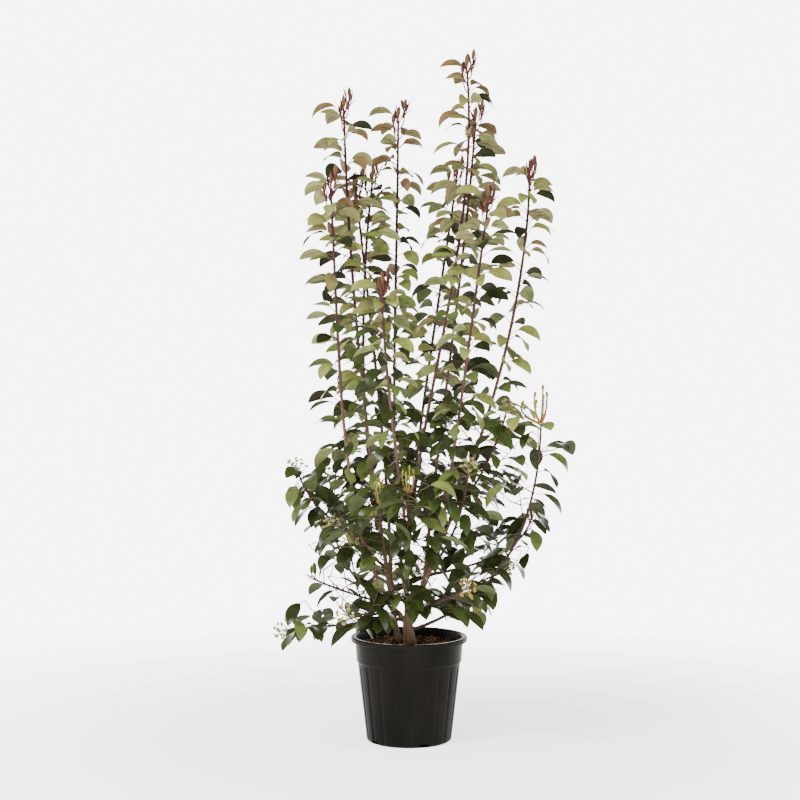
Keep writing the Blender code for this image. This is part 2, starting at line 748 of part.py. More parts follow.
class Crown:
    """All the leafy shoots, grown so that each one keeps to its own space."""

    def __init__(self, blocks):
        self.blocks = [(None, block) for block in blocks]
        self.shoots = {}
        self.pieces = {}
        self.end_blocks = []

    def is_clear(self, shape, carrier=None):
        """True where a shape touches nothing but the stem or twig that carries it."""
        tree = solid_tree(shape)
        others = (block for owner, block in self.blocks if owner is None or owner is not carrier)
        return not any(tree.overlap(block) for block in others)

    def start_shoot(self, name, limb, split):
        """Add the stem of a shoot, which goes on from the bough's tip."""
        rings = max(2, round((limb.length - split) / SHOOT_RING_STEP))
        stem = limb.straightened(split + GAP, rings)
        self.pieces[name] = [tube(stem, stem.lengths, TWIG_SIDES)]
        self.blocks.append((stem, solid_tree(tube(stem, stem.lengths, TWIG_SIDES, CLEARANCE))))
        self.shoots[name] = [(stem, 0.0)]

    def add_twigs(self, name, count):
        """Twigs that spiral up a shoot's stem and turn up towards their tips."""
        stem, _ = self.shoots[name][0]
        for index, share in enumerate(steps(*TWIG_SHARES, count - 1)):
            distance = stem.length * share
            root = stem.point(distance)
            for attempt in range(TWIG_TRIES):
                chance = draws(name, "twig", index, attempt)
                azimuth = GOLDEN_ANGLE * index + attempt * TWIG_TURN_AGAIN
                azimuth += chance.uniform(-TWIG_TURN_RANGE, TWIG_TURN_RANGE)
                out, level = outward(stem, distance, azimuth)
                length = chance.uniform(*TWIG_LENGTHS)
                rise = Vector((0.0, 0.0, length * chance.uniform(*TWIG_LIFTS)))
                aim = (out + level + stem.direction(distance) * TWIG_LEAN_ALONG).normalized() * length
                points = (root, root + aim * 0.4, root + aim * 0.8 + rise * 0.3, root + aim + rise)
                twig = curved(points, TWIG_FOOT_RADIUS, TWIG_TIP_RADIUS).straightened(0.0, TWIG_RINGS)
                leave = stem.radius(distance) * TWIG_FREE_RADII + CLEARANCE
                free = [leave, *twig.lengths[1:]]
                if self.is_clear(tube(twig, free, TWIG_SIDES, CLEARANCE)):
                    self.pieces[name].append(tube(twig, twig.lengths, TWIG_SIDES))
                    self.blocks.append((twig, solid_tree(tube(twig, free, TWIG_SIDES))))
                    self.shoots[name].append((twig, leave))
                    break

    def add_end(self, name, kind):
        """Stalks at a shoot's tip: young leaves, an upright candle or a spread panicle."""
        limb, _ = self.shoots[name][0]
        size = SHOOT_ENDS[kind]
        root = limb.point(limb.length - STALK_ROOT_DEPTH)
        along = limb.direction(limb.length - STALK_ROOT_DEPTH)
        first, second = across(along)
        for index in range(size["count"]):
            chance = draws(name, kind, index)
            azimuth = math.tau * index / size["count"]
            azimuth += chance.uniform(-STALK_TURN_RANGE, STALK_TURN_RANGE)
            spread = math.radians(size["spread"]) * chance.uniform(*STALK_SPREAD_SHARES)
            out = first * math.cos(azimuth) + second * math.sin(azimuth)
            aim = (along * math.cos(spread) + out * math.sin(spread)).normalized()
            length = size["length"] * chance.uniform(*STALK_LENGTH_SHARES)
            shape = spindle_shape(root, aim, length, size["half"], size["widest"])
            free = root + aim * STALK_FREE_FROM
            free_length = length - STALK_FREE_FROM + CLEARANCE
            ahead = spindle_shape(free, aim, free_length, size["half"] + CLEARANCE, size["widest"])
            if self.is_clear(ahead, limb):
                self.pieces[name].append(shape)
                self.end_blocks.append((None, solid_tree(shape)))

    def map_space(self):
        """Note which shoot is nearest to any place."""
        spots = []
        for number, name in enumerate(self.shoots):
            for limb, start in self.shoots[name]:
                count = max(2, int((limb.length - start) / SPACE_STEP))
                spots += [(limb.point(distance), number) for distance in steps(start, limb.length, count)]
        self.owners = [owner for _, owner in spots]
        self.tree = KDTree(len(spots))
        for k, (place, _) in enumerate(spots):
            self.tree.insert(place, k)
        self.tree.balance()

    def is_own_space(self, name, place):
        number = list(self.shoots).index(name)
        _, _, nearest = self.tree.find(place)
        mine = self.tree.find(place, filter=lambda k: self.owners[k] == number)[2]
        return mine <= nearest * SPACE_SLACK

    def add_leaves(self, name, limb, start, count, shares, crowding=1.0):
        """Leaves that spiral up a stem or twig, each skipped where it finds no clear place."""
        first_share, last_share = shares
        for index in range(count):
            share = first_share + (last_share - first_share) * (index / (count - 1)) ** crowding
            distance = start + (limb.length - start) * share
            root = limb.point(distance)
            for attempt in range(LEAF_TRIES):
                chance = draws(name, round(start, 4), count, index, attempt)
                azimuth = GOLDEN_ANGLE * index + attempt * LEAF_TURN_AGAIN
                azimuth += chance.uniform(-LEAF_TURN_RANGE, LEAF_TURN_RANGE)
                _, level = outward(limb, distance, azimuth)
                size = leaf_size(chance, root.z, smooth_share(share, TIP_SHARE, 1.0))
                if not self.is_own_space(name, root + level * (size[0] * LEAF_WIDEST)):
                    continue
                ahead = leaf_shape(root, level, size, CLEARANCE)
                if not all(in_crown(corner) for corner in ahead[0]) or not self.is_clear(ahead, limb):
                    continue
                leaf = leaf_shape(root, level, size)
                self.pieces[name].append(leaf)
                self.blocks.append((None, solid_tree(leaf)))
                break


def build_pot():
    pot = new_object("pot", pot_shape(), POT_LOOK)
    azimuths = [math.radians(FIRST_NOTCH_AZIMUTH + 360.0 / NOTCH_COUNT * k) for k in range(NOTCH_COUNT)]
    cut(pot, [notch_shape(azimuth) for azimuth in azimuths])
    pot.data.shade_smooth()
    pot.data.set_sharp_from_angle(angle=math.radians(POT_SHARP_ANGLE))
    feet = [Vector(STEMS[name]["foot"][:2]) for name in ("main_stem", "second_stem")]
    new_object("compost", soil_shape(feet), SOIL_LOOK)


def build_limbs():
    """Grow every limb, and cut each one back to a hair's breadth from those before it."""
    limbs = {}
    for name in STEMS:
        limbs[name] = stem_limb(name, limbs)
    for name in SIDE_BOUGHS:
        limbs[name] = side_limb(name, limbs)
    placed = []
    blocks = []
    for name, (limb, split) in limbs.items():
        shape = limb_shape(name, limb, split)
        thing = new_object(name, shape, BARK_LOOK)
        tree = solid_tree(limb_shape(name, limb, split, GAP))
        cutters = [other for other, other_tree in placed if other_tree.overlap(tree)]
        if cutters:
            cut(thing, [limb_shape(other, *limbs[other], GAP) for other in cutters])
        placed.append((name, tree))
        blocks.append(solid_tree(limb_shape(name, limb, split, CLEARANCE)))
        thing.data.shade_smooth()
        thing.data.set_sharp_from_angle(angle=math.radians(LIMB_SHARP_ANGLE))
    return limbs, blocks


def build_crown(limbs, blocks):
    """Grow the shoots' stems and ends first, then their twigs, and last the leaves in the gaps."""
    crown = Crown(blocks)
    for name, (limb, split) in limbs.items():
        crown.start_shoot(name, limb, split)
    for name in limbs:
        crown.add_end(name, "young" if name in STEMS else SIDE_BOUGHS[name]["end"])
    crown.blocks += crown.end_blocks
    for name in SIDE_BOUGHS:
        crown.add_twigs(name, SIDE_TWIGS)
    crown.map_space()
    for name in limbs:
        stem, *twigs = crown.shoots[name]
        if name in STEMS:
            crown.add_leaves(name, *stem, TALL_LEAVES, STEM_LEAF_SHARES, TALL_CROWDING)
        else:
            crown.add_leaves(name, *stem, SIDE_STEM_LEAVES, STEM_LEAF_SHARES)
        for twig, start in twigs:
            crown.add_leaves(name, twig, start, TWIG_LEAVES, TWIG_LEAF_SHARES)
    for name, pieces in crown.pieces.items():
        look = UPPER_LEAF_LOOK if name in STEMS else LOWER_LEAF_LOOK
        thing = new_object(name + "_leaves", pieces[0], look)
        fuse(thing, pieces[1:])


def main():
    for thing in list(bpy.data.objects):
        bpy.data.objects.remove(thing)
    build_pot()
    limbs, blocks = build_limbs()
    build_crown(limbs, blocks)


main()
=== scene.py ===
import json
import math
import random

import bmesh
import bpy
import numpy as np
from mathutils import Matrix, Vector, noise
from mathutils.bvhtree import BVHTree
from mathutils.kdtree import KDTree

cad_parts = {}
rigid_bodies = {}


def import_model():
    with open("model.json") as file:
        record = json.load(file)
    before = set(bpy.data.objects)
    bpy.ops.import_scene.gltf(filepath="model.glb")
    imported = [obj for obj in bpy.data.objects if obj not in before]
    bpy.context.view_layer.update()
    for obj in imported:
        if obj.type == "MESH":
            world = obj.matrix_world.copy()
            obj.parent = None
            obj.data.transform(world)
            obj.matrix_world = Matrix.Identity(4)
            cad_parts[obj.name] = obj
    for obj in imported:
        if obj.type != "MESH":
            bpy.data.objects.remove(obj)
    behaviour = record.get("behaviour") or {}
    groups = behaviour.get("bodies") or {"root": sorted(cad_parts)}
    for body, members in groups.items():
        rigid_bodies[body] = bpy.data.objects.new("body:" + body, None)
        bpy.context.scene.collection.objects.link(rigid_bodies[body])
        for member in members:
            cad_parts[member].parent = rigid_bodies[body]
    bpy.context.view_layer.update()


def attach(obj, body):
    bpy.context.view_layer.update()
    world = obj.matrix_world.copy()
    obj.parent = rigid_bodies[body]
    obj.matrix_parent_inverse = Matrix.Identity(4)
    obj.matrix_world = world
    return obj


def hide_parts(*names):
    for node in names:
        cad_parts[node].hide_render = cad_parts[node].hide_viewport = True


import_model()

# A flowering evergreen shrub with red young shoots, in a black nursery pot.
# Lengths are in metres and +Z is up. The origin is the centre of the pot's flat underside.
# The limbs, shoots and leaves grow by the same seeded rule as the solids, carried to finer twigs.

# Pot
POT_HEIGHT = 0.268
RIM_RADIUS = 0.1485
LIP_HEIGHT = 0.013
LIP_ROUNDING = 0.0036
BAND_HEIGHT = 0.048
BAND_TOP_RADIUS = 0.1375
BAND_FOOT_RADIUS = 0.1345
WALL_TOP_RADIUS = 0.1310
BASE_RADIUS = 0.1090
CORNER_SIZE = 0.009
WALL_THICKNESS = 0.0026
FLOOR_THICKNESS = 0.003
STEP_HEIGHT = 0.006
POT_SIDES = 360
FLUTES = 20
FLUTE_DEPTH = 0.0022
GROOVE_SHARE = 0.13
GROOVE_FADE = 0.012
WALL_RINGS = 16
CORNER_RINGS = 6
LIP_RINGS = 7
NOTCH_COUNT = 5
NOTCH_WIDTH = 0.025
NOTCH_HEIGHT = 0.010
NOTCH_REACH_IN = 0.0035
NOTCH_REACH_OUT = 0.010
FIRST_NOTCH_AZIMUTH = -70.5

# Compost and bark chips
SOIL_TOP = 0.245
SOIL_SIDES = 120
SOIL_RINGS = 26
SOIL_LUMP = 0.0055
SOIL_FLAT_REACH = 0.030
SOIL_EDGE_DROP = 0.002
SOIL_CLEARANCE = 0.0008
CHIP_COUNT = 620
CHIP_LENGTHS = (0.005, 0.019)
CHIP_REACH = 0.122

# Stems at the compost
GAP = 0.0003
STEM_FOOT = SOIL_TOP + GAP
STEM_SUNK = 0.004
MAIN_STEM_RADIUS = 0.0135
MAIN_FLARE = 0.007
FLARE_HEIGHT = 0.018
FLARE_LOBES = 3
FLARE_LOBE_SHARE = 0.35
FORK_HEIGHT = 0.283
FORK_LENGTH = 0.030
FORK_RADIUS_SHARE = 0.95
ABOVE_FORK_RADIUS = 0.0072

# Limbs
CURVE_SAMPLES = 80
SPLIT_RADIUS = 0.0042
SIDE_FOOT_RADIUS = 0.0048
SIDE_SPLIT_RADIUS = 0.0030
SIDE_SPLIT_SHARE = 0.32
SHOOT_TIP_RADIUS = 0.0015
SHOOT_SAMPLES = 40
TWIG_FOOT_RADIUS = 0.0019
TWIG_TIP_RADIUS = 0.0010
TWIG_SAMPLES = 8
TWIG_LENGTHS = (0.085, 0.125)
TWIG_LIFTS = (0.25, 0.70)
TWIG_SHARES = (0.12, 0.78)
TWIG_LEAN_ALONG = 0.5
TWIG_FREE_RADII = 2.0
TWIGLET_LENGTHS = (0.040, 0.065)
TWIGLET_SHARE = 0.45
BARK_RING_STEP = 0.0045
BARK_SIDES = 16
SIDE_BARK_SIDES = 12
TWIG_BARK_SIDES = 7
COLLAR_LENGTH = 0.010
COLLAR_SHARE = 0.55
BARK_RELIEF_SHARE = 0.06
FISSURE_SHARE = 0.06
SHOOT_GROWTH = 0.0013
BOUGH_GROWTH = 0.0010
NODE_SWELL = 0.12
NODE_WIDTH = 0.0022

# Leaves: the blade and its stalk together
LOWER_CROWN_TOP = 0.62
UPPER_CROWN_FOOT = 0.95
LOWER_LEAF = dict(length=0.107, width_share=0.315, rise=4.0, fall=-64.0, roll=40.0, fold=10.0)
UPPER_LEAF = dict(length=0.099, width_share=0.34, rise=36.0, fall=-56.0, roll=58.0, fold=9.0)
LEAF_SIZE_SHARES = (0.82, 1.12)
LEAF_RISE_RANGE = 20.0
LEAF_FALL_RANGE = 30.0
LEAF_WIDEST = 0.55
STALK_SHARE = 0.26
BLADE_BEND_POWER = 0.75
BLADE_STATIONS = 12
STALK_STATIONS = 4
BLADE_COLUMNS = (-1.0, -0.6, -0.18, 0.18, 0.6, 1.0)
BLADE_HALF_THICKNESS = 0.00018
BLADE_CURL = 0.10
BLADE_WAVE = 0.02
BLADE_TWIST = 12.0
STALK_RADIUS = 0.0011
MIDRIB_RADII = (0.00085, 0.00022)
STALK_SIDES = 5
ROLL_LEAST = 0.25
TIP_SHARE = 0.8
TIP_LEAF_CUT = 0.04
TIP_LEAF_RISE = 8.0
TIP_LEAF_LIFT = 6.0

# How leaves and twigs turn round a shoot and find their places
GOLDEN_ANGLE = math.radians(137.5)
LEAF_TURN_RANGE = 0.4
LEAF_TURN_AGAIN = 0.7
LEAF_TRIES = 9
TWIG_TURN_RANGE = 0.5
TWIG_TURN_AGAIN = 1.1
TWIG_TRIES = 6
LEAN_ALONG_SHOOT = 0.30
LEAN_OUT_OF_CROWN = 0.25
CROWN_MIDDLE_RADIUS = 0.05
CLEARANCE = 0.0007
SPACE_SLACK = 1.6
SPACE_STEP = 0.015
LOWEST_LEAF = 0.205
CROWN_LEFT = -0.309
CROWN_RIGHT = 0.428
CROWN_FRONT = -0.335
CROWN_BACK = 0.345
CROWN_FOOT = 0.26
CROWN_WIDEST = 0.66
CROWN_FOOT_SHARE = 0.46
LOWEST_INNER_LEAF = 0.262
LOWEST_RIM_LEAF = 0.276
RIM_INSIDE = 0.125
RIM_OUTSIDE = 0.162
LOW_BOUGH_TOP = 0.36
LOW_BOUGH_LEAVES = 5
LOW_BOUGH_SHARES = (0.20, 0.31)
FREE_BOUGHS = ("low_left_bough",)
OUTER_THINNING = 0.16
OUTER_FROM = 0.13
OUTER_TO = 0.22
OUTER_TOP = 0.75
SPARSE_TWIGS = 3
SPARSE_TWIG_LEAVES = 3

# Numbers on each kind of shoot, and how many of them there are for each one of the solids'
TALL_LEAVES = 65
TALL_FINER = 2
SIDE_FINER = 2
SIDE_STEM_LEAVES = 9
SIDE_TWIGS = 5
TWIG_LEAVES = 5
TWIG_END = 0.002
TWIGLET_LEAVES = 2
TIP_LEAVES = 9
TIP_LEAF_SHARES = (0.82, 0.99)
STEM_LEAF_SHARES = (0.03, 0.96)
TWIG_LEAF_SHARES = (0.25, 0.94)
TALL_CROWDING = 1.15

# Each stem or tall cane: what it grows from, its height there, two guides that bend it,
# its tip, its radius at the foot and the height at which its leafy shoot begins.
STEMS = {
    "main_stem": dict(
        parent=None, foot=(0.001, 0.0, STEM_FOOT), low=(-0.050, 0.010, 0.70),
        high=(0.190, 0.040, 1.20), tip=(0.147, 0.030, 1.749), radius=MAIN_STEM_RADIUS, split=0.62,
    ),
    "second_stem": dict(
        parent=None, foot=(-0.028, 0.066, STEM_FOOT), low=(-0.085, 0.070, 0.58),
        high=(-0.150, 0.020, 1.05), tip=(-0.166, 0.020, 1.648), radius=0.0075, split=0.58,
    ),
    "left_cane": dict(
        parent="main_stem", height=0.285, low=(-0.180, -0.010, 0.48),
        high=(-0.170, -0.060, 0.90), tip=(-0.196, -0.080, 1.443), radius=0.0066, split=0.52,
    ),
    "right_cane": dict(
        parent="main_stem", height=0.287, low=(0.100, 0.000, 0.56),
        high=(0.290, -0.010, 0.95), tip=(0.306, 0.000, 1.483), radius=0.0085, split=0.60,
    ),
    "back_left_cane": dict(
        parent="second_stem", height=0.345, low=(-0.050, 0.130, 0.70),
        high=(-0.100, 0.160, 1.05), tip=(-0.139, 0.165, 1.460), radius=0.0056, split=0.58,
    ),
    "mid_left_cane": dict(
        parent="second_stem", height=0.480, low=(-0.130, 0.120, 0.75),
        high=(-0.130, 0.100, 1.15), tip=(-0.094, 0.085, 1.472), radius=0.0050, split=0.62,
    ),
    "front_cane": dict(
        parent="main_stem", height=0.420, low=(0.005, -0.090, 0.55),
        high=(-0.060, -0.160, 0.85), tip=(-0.068, -0.165, 1.195), radius=0.0054, split=0.56,
    ),
    "back_cane": dict(
        parent="main_stem", height=0.355, low=(-0.060, 0.110, 0.62),
        high=(-0.030, 0.190, 1.15), tip=(-0.028, 0.175, 1.638), radius=0.0058, split=0.58,
    ),
    "right_back_cane": dict(
        parent="right_cane", height=0.400, low=(0.065, 0.080, 0.72),
        high=(0.140, 0.130, 1.15), tip=(0.173, 0.125, 1.628), radius=0.0056, split=0.60,
    ),
    "far_back_cane": dict(
        parent="main_stem", height=0.455, low=(0.010, 0.120, 0.72),
        high=(0.080, 0.230, 1.12), tip=(0.127, 0.215, 1.488), radius=0.0052, split=0.62,
    ),
    "right_front_cane": dict(
        parent="right_cane", height=0.470, low=(0.110, -0.100, 0.70),
        high=(0.150, -0.140, 1.05), tip=(0.195, -0.130, 1.405), radius=0.0052, split=0.60,
    ),
}

# Each side bough: what it grows from, its height there, its tip, how far it sweeps out
# before it turns up, and the kind of flower shoot at its end.
SIDE_BOUGHS = {
    "low_right_bough": dict(
        parent="main_stem", height=0.270, tip=(0.332, -0.050, 0.895), sweep=0.96, rise=0.34, end="candle",
    ),
    "left_upper_bough": dict(
        parent="second_stem", height=0.470, tip=(-0.281, -0.040, 0.713), sweep=0.75, rise=0.55, end="panicle",
    ),
    "left_front_bough": dict(
        parent="left_cane", height=0.350, tip=(-0.185, -0.175, 0.577), sweep=0.70, rise=0.45, end="panicle",
    ),
    "low_left_bough": dict(
        parent="left_cane", height=0.305, tip=(-0.303, -0.080, 0.318), sweep=0.60, rise=0.90, end="panicle",
    ),
    "right_side_bough": dict(
        parent="right_cane", height=0.420, tip=(0.318, 0.110, 0.593), sweep=0.75, rise=0.30, end="young",
    ),
    "front_left_bough": dict(
        parent="main_stem", height=0.345, tip=(-0.072, -0.225, 0.709), sweep=0.80, rise=0.40, end="candle",
    ),
    "front_bough": dict(
        parent="front_cane", height=0.480, tip=(-0.002, -0.240, 0.740), sweep=0.75, rise=0.45, end="candle",
    ),
    "front_right_bough": dict(
        parent="right_cane", height=0.445, tip=(0.143, -0.215, 0.724), sweep=0.70, rise=0.50, end="panicle",
    ),
    "right_upper_bough": dict(
        parent="right_cane", height=0.560, tip=(0.241, -0.085, 0.860), sweep=0.60, rise=0.60, end="panicle",
    ),
    "low_front_right_bough": dict(
        parent="main_stem", height=0.315, tip=(0.132, -0.205, 0.435), sweep=0.60, rise=0.70, end="panicle",
    ),
    "low_front_left_bough": dict(
        parent="left_cane", height=0.325, tip=(-0.150, -0.200, 0.375), sweep=0.60, rise=0.80, end="panicle",
    ),
    "back_left_bough": dict(
        parent="second_stem", height=0.420, tip=(-0.210, 0.205, 0.670), sweep=0.70, rise=0.50, end="panicle",
    ),
    "back_middle_bough": dict(
        parent="second_stem", height=0.380, tip=(-0.050, 0.290, 0.652), sweep=0.72, rise=0.45, end="candle",
    ),
    "back_right_bough": dict(
        parent="right_back_cane", height=0.460, tip=(0.150, 0.285, 0.700), sweep=0.75, rise=0.50, end="young",
    ),
    "low_right_back_bough": dict(
        parent="main_stem", height=0.330, tip=(0.245, 0.185, 0.430), sweep=0.65, rise=0.75, end="panicle",
    ),
    "low_back_bough": dict(
        parent="second_stem", height=0.315, tip=(0.020, 0.280, 0.420), sweep=0.65, rise=0.75, end="panicle",
    ),
    "low_left_back_bough": dict(
        parent="second_stem", height=0.330, tip=(-0.250, 0.120, 0.440), sweep=0.65, rise=0.70, end="young",
    ),
}

# How far each kind of flower or young shoot reaches above the tip of its stem
SHOOT_REACH = {"young": 0.042, "candle": 0.080, "panicle": 0.022}

UP = Vector((0.0, 0.0, 1.0))


# Centre lines

class Limb:
    """A centre line through sample points that tapers from its foot to its tip."""

    def __init__(self, samples, radii, directions=None):
        self.samples = samples
        self.radii = radii
        self.lengths = [0.0]
        for here, there in zip(samples, samples[1:]):
            self.lengths.append(self.lengths[-1] + (there - here).length)
        self.length = self.lengths[-1]
        last = len(samples) - 1
        self.directions = directions or [
            (samples[min(k + 1, last)] - samples[max(k - 1, 0)]).normalized() for k in range(last + 1)
        ]

    def place(self, distance):
        """The stretch between samples that holds a distance, and the share of it gone by."""
        k = 0
        while k < len(self.lengths) - 2 and self.lengths[k + 1] < distance:
            k += 1
        return k, (distance - self.lengths[k]) / (self.lengths[k + 1] - self.lengths[k])

    def point(self, distance):
        k, share = self.place(distance)
        return self.samples[k].lerp(self.samples[k + 1], share)

    def direction(self, distance):
        k, share = self.place(distance)
        return self.directions[k].lerp(self.directions[k + 1], share).normalized()

    def radius(self, distance):
        for (start, first), (end, second) in zip(self.radii, self.radii[1:]):
            if distance <= end:
                share = (distance - start) / (end - start)
                return first + (second - first) * share
        return self.radii[-1][1]

    def distance_at_height(self, height):
        for k, sample in enumerate(self.samples):
            if sample.z >= height:
                return self.lengths[k]
        return self.length

    def straightened(self, start, count):
        """The rest of the limb from a distance on, as straight stretches."""
        distances = steps(start, self.length, count)
        samples = [self.point(distance) for distance in distances]
        rest = Limb(samples, [], [self.direction(distance) for distance in distances])
        rest.radii = [(length, self.radius(distance)) for length, distance in zip(rest.lengths, distances)]
        return rest


def steps(start, end, count):
    return [start + (end - start) * k / count for k in range(count + 1)]


def curved(points, foot_radius, tip_radius):
    """A limb along the cubic curve that four guide points bend."""
    limb = Limb([bezier_point(points, k / CURVE_SAMPLES) for k in range(CURVE_SAMPLES + 1)], [])
    limb.radii = [(0.0, foot_radius), (limb.length, tip_radius)]
    return limb


def bezier_point(points, share):
    foot, low, high, tip = (Vector(p) for p in points)
    rest = 1.0 - share
    return (
        foot * rest ** 3
        + low * (3.0 * rest ** 2 * share)
        + high * (3.0 * rest * share ** 2)
        + tip * share ** 3
    )


def draws(*words):
    """A random number source of its own for each named thing."""
    return random.Random("/".join(str(word) for word in words))


def smooth_share(value, low, high):
    share = min(max((value - low) / (high - low), 0.0), 1.0)
    return share * share * (3.0 - 2.0 * share)


def across(direction):
    """Two unit vectors square to a direction and to each other."""
    side = Vector((0.0, 1.0, 0.0)).cross(direction)
    if side.length < 0.3:
        side = Vector((1.0, 0.0, 0.0)).cross(direction)
    side.normalize()
    return side, direction.cross(side).normalized()


def stem_flare(height, angle):
    """The lobed root flare of the main stem."""
    share = math.exp(-max(height - STEM_FOOT, 0.0) / FLARE_HEIGHT)
    return MAIN_FLARE * share * (1.0 + FLARE_LOBE_SHARE * math.cos(FLARE_LOBES * angle))


def stem_limb(name, limbs):
    """The centre line of a stem or tall cane, and the distance at which its leafy shoot begins."""
    size = STEMS[name]
    if size["parent"]:
        parent = limbs[size["parent"]][0]
        foot = parent.point(parent.distance_at_height(size["height"]))
    else:
        foot = Vector(size["foot"])
    tip = Vector(size["tip"]) - UP * SHOOT_REACH["young"]
    limb = curved((foot, size["low"], size["high"], tip), size["radius"], SHOOT_TIP_RADIUS)
    if not size["parent"]:
        limb.directions[0] = UP.copy()
    split = limb.distance_at_height(size["split"])
    limb.radii = [(0.0, size["radius"]), (split, SPLIT_RADIUS), (limb.length, SHOOT_TIP_RADIUS)]
    if name == "main_stem":
        fork = limb.distance_at_height(FORK_HEIGHT)
        limb.radii = [
            (0.0, MAIN_STEM_RADIUS),
            (fork, MAIN_STEM_RADIUS * FORK_RADIUS_SHARE),
            (fork + FORK_LENGTH, ABOVE_FORK_RADIUS),
            (split, SPLIT_RADIUS),
            (limb.length, SHOOT_TIP_RADIUS),
        ]
    return limb, split


def side_limb(name, limbs):
    """The centre line of a side bough: it sweeps out from its parent and then turns up."""
    size = SIDE_BOUGHS[name]
    parent = limbs[size["parent"]][0]
    foot = parent.point(parent.distance_at_height(size["height"]))
    tip = Vector(size["tip"]) - UP * SHOOT_REACH[size["end"]]
    out = Vector((tip.x - foot.x, tip.y - foot.y, 0.0))
    up = UP * (tip.z - foot.z)
    low = foot + out * (size["sweep"] * 0.5) + up * (size["rise"] * 0.3)
    high = foot + out * (0.5 + size["sweep"] * 0.5) + up * size["rise"]
    limb = curved((foot, low, high, tip), SIDE_FOOT_RADIUS, SHOOT_TIP_RADIUS)
    split = limb.length * SIDE_SPLIT_SHARE
    limb.radii = [(0.0, SIDE_FOOT_RADIUS), (split, SIDE_SPLIT_RADIUS), (limb.length, SHOOT_TIP_RADIUS)]
    return limb, split


# Materials

def shader_parts(name):
    material = bpy.data.materials.new(name)
    material.use_nodes = True
    tree = material.node_tree
    return material, tree, tree.nodes["Principled BSDF"]


def noise_node(tree, scale, detail=4.0, stretch=(1.0, 1.0, 1.0), offset=(0.0, 0.0, 0.0)):
    """Noise in the object's own coordinates, drawn out along an axis where stretch is below one."""
    place = tree.nodes.new("ShaderNodeTexCoord")
    mapping = tree.nodes.new("ShaderNodeMapping")
    mapping.inputs["Scale"].default_value = stretch
    mapping.inputs["Location"].default_value = offset
    pattern = tree.nodes.new("ShaderNodeTexNoise")
    pattern.inputs["Scale"].default_value = scale
    pattern.inputs["Detail"].default_value = detail
    tree.links.new(place.outputs["Object"], mapping.inputs["Vector"])
    tree.links.new(mapping.outputs["Vector"], pattern.inputs["Vector"])
    return pattern


def ramp_node(tree, factor, stops):
    """A colour ramp with (position, colour) stops."""
    ramp = tree.nodes.new("ShaderNodeValToRGB")
    elements = ramp.color_ramp.elements
    while len(elements) < len(stops):
        elements.new(0.5)
    for element, (position, colour) in zip(elements, stops):
        element.position = position
        element.color = (*colour, 1.0)
    tree.links.new(factor, ramp.inputs["Fac"])
    return ramp


def mix_node(tree, blend, factor, first, second):
    mix = tree.nodes.new("ShaderNodeMix")
    mix.data_type = "RGBA"
    mix.blend_type = blend
    colours = [socket for socket in mix.inputs if socket.type == "RGBA"]
    if isinstance(factor, float):
        mix.inputs["Factor"].default_value = factor
    else:
        tree.links.new(factor, mix.inputs["Factor"])
    tree.links.new(first, colours[0])
    tree.links.new(second, colours[1])
    return next(socket for socket in mix.outputs if socket.type == "RGBA")


def range_node(tree, value, low, high):
    """A noise value spread over a range, such as a roughness."""
    spread = tree.nodes.new("ShaderNodeMapRange")
    spread.inputs["From Min"].default_value = 0.3
    spread.inputs["From Max"].default_value = 0.7
    spread.inputs["To Min"].default_value = low
    spread.inputs["To Max"].default_value = high
    tree.links.new(value, spread.inputs["Value"])
    return spread.outputs["Result"]


def add_bump(tree, shader, height, strength, distance):
    bump = tree.nodes.new("ShaderNodeBump")
    bump.inputs["Strength"].default_value = strength
    bump.inputs["Distance"].default_value = distance
    tree.links.new(height, bump.inputs["Height"])
    tree.links.new(bump.outputs["Normal"], shader.inputs["Normal"])


def scaled(colour, share):
    return tuple(channel * share for channel in colour)


def leaf_material(name, colour, roughness, gloss=0.5, spread=0.22, scale=55.0):
    """Leaf skin: a colour that varies a little, a waxy gloss and fine veining."""
    material, tree, shader = shader_parts(name)
    broad = noise_node(tree, scale)
    tones = [(0.30, scaled(colour, 1.0 - spread)), (0.70, scaled(colour, 1.0 + spread))]
    ramp = ramp_node(tree, broad.outputs["Fac"], tones)
    tree.links.new(ramp.outputs["Color"], shader.inputs["Base Color"])
    tree.links.new(
        range_node(tree, broad.outputs["Fac"], roughness - 0.06, roughness + 0.08), shader.inputs["Roughness"]
    )
    veins = noise_node(tree, 420.0, 3.0)
    add_bump(tree, shader, veins.outputs["Fac"], 0.25, 0.0006)
    shader.inputs["Specular IOR Level"].default_value = gloss
    return material


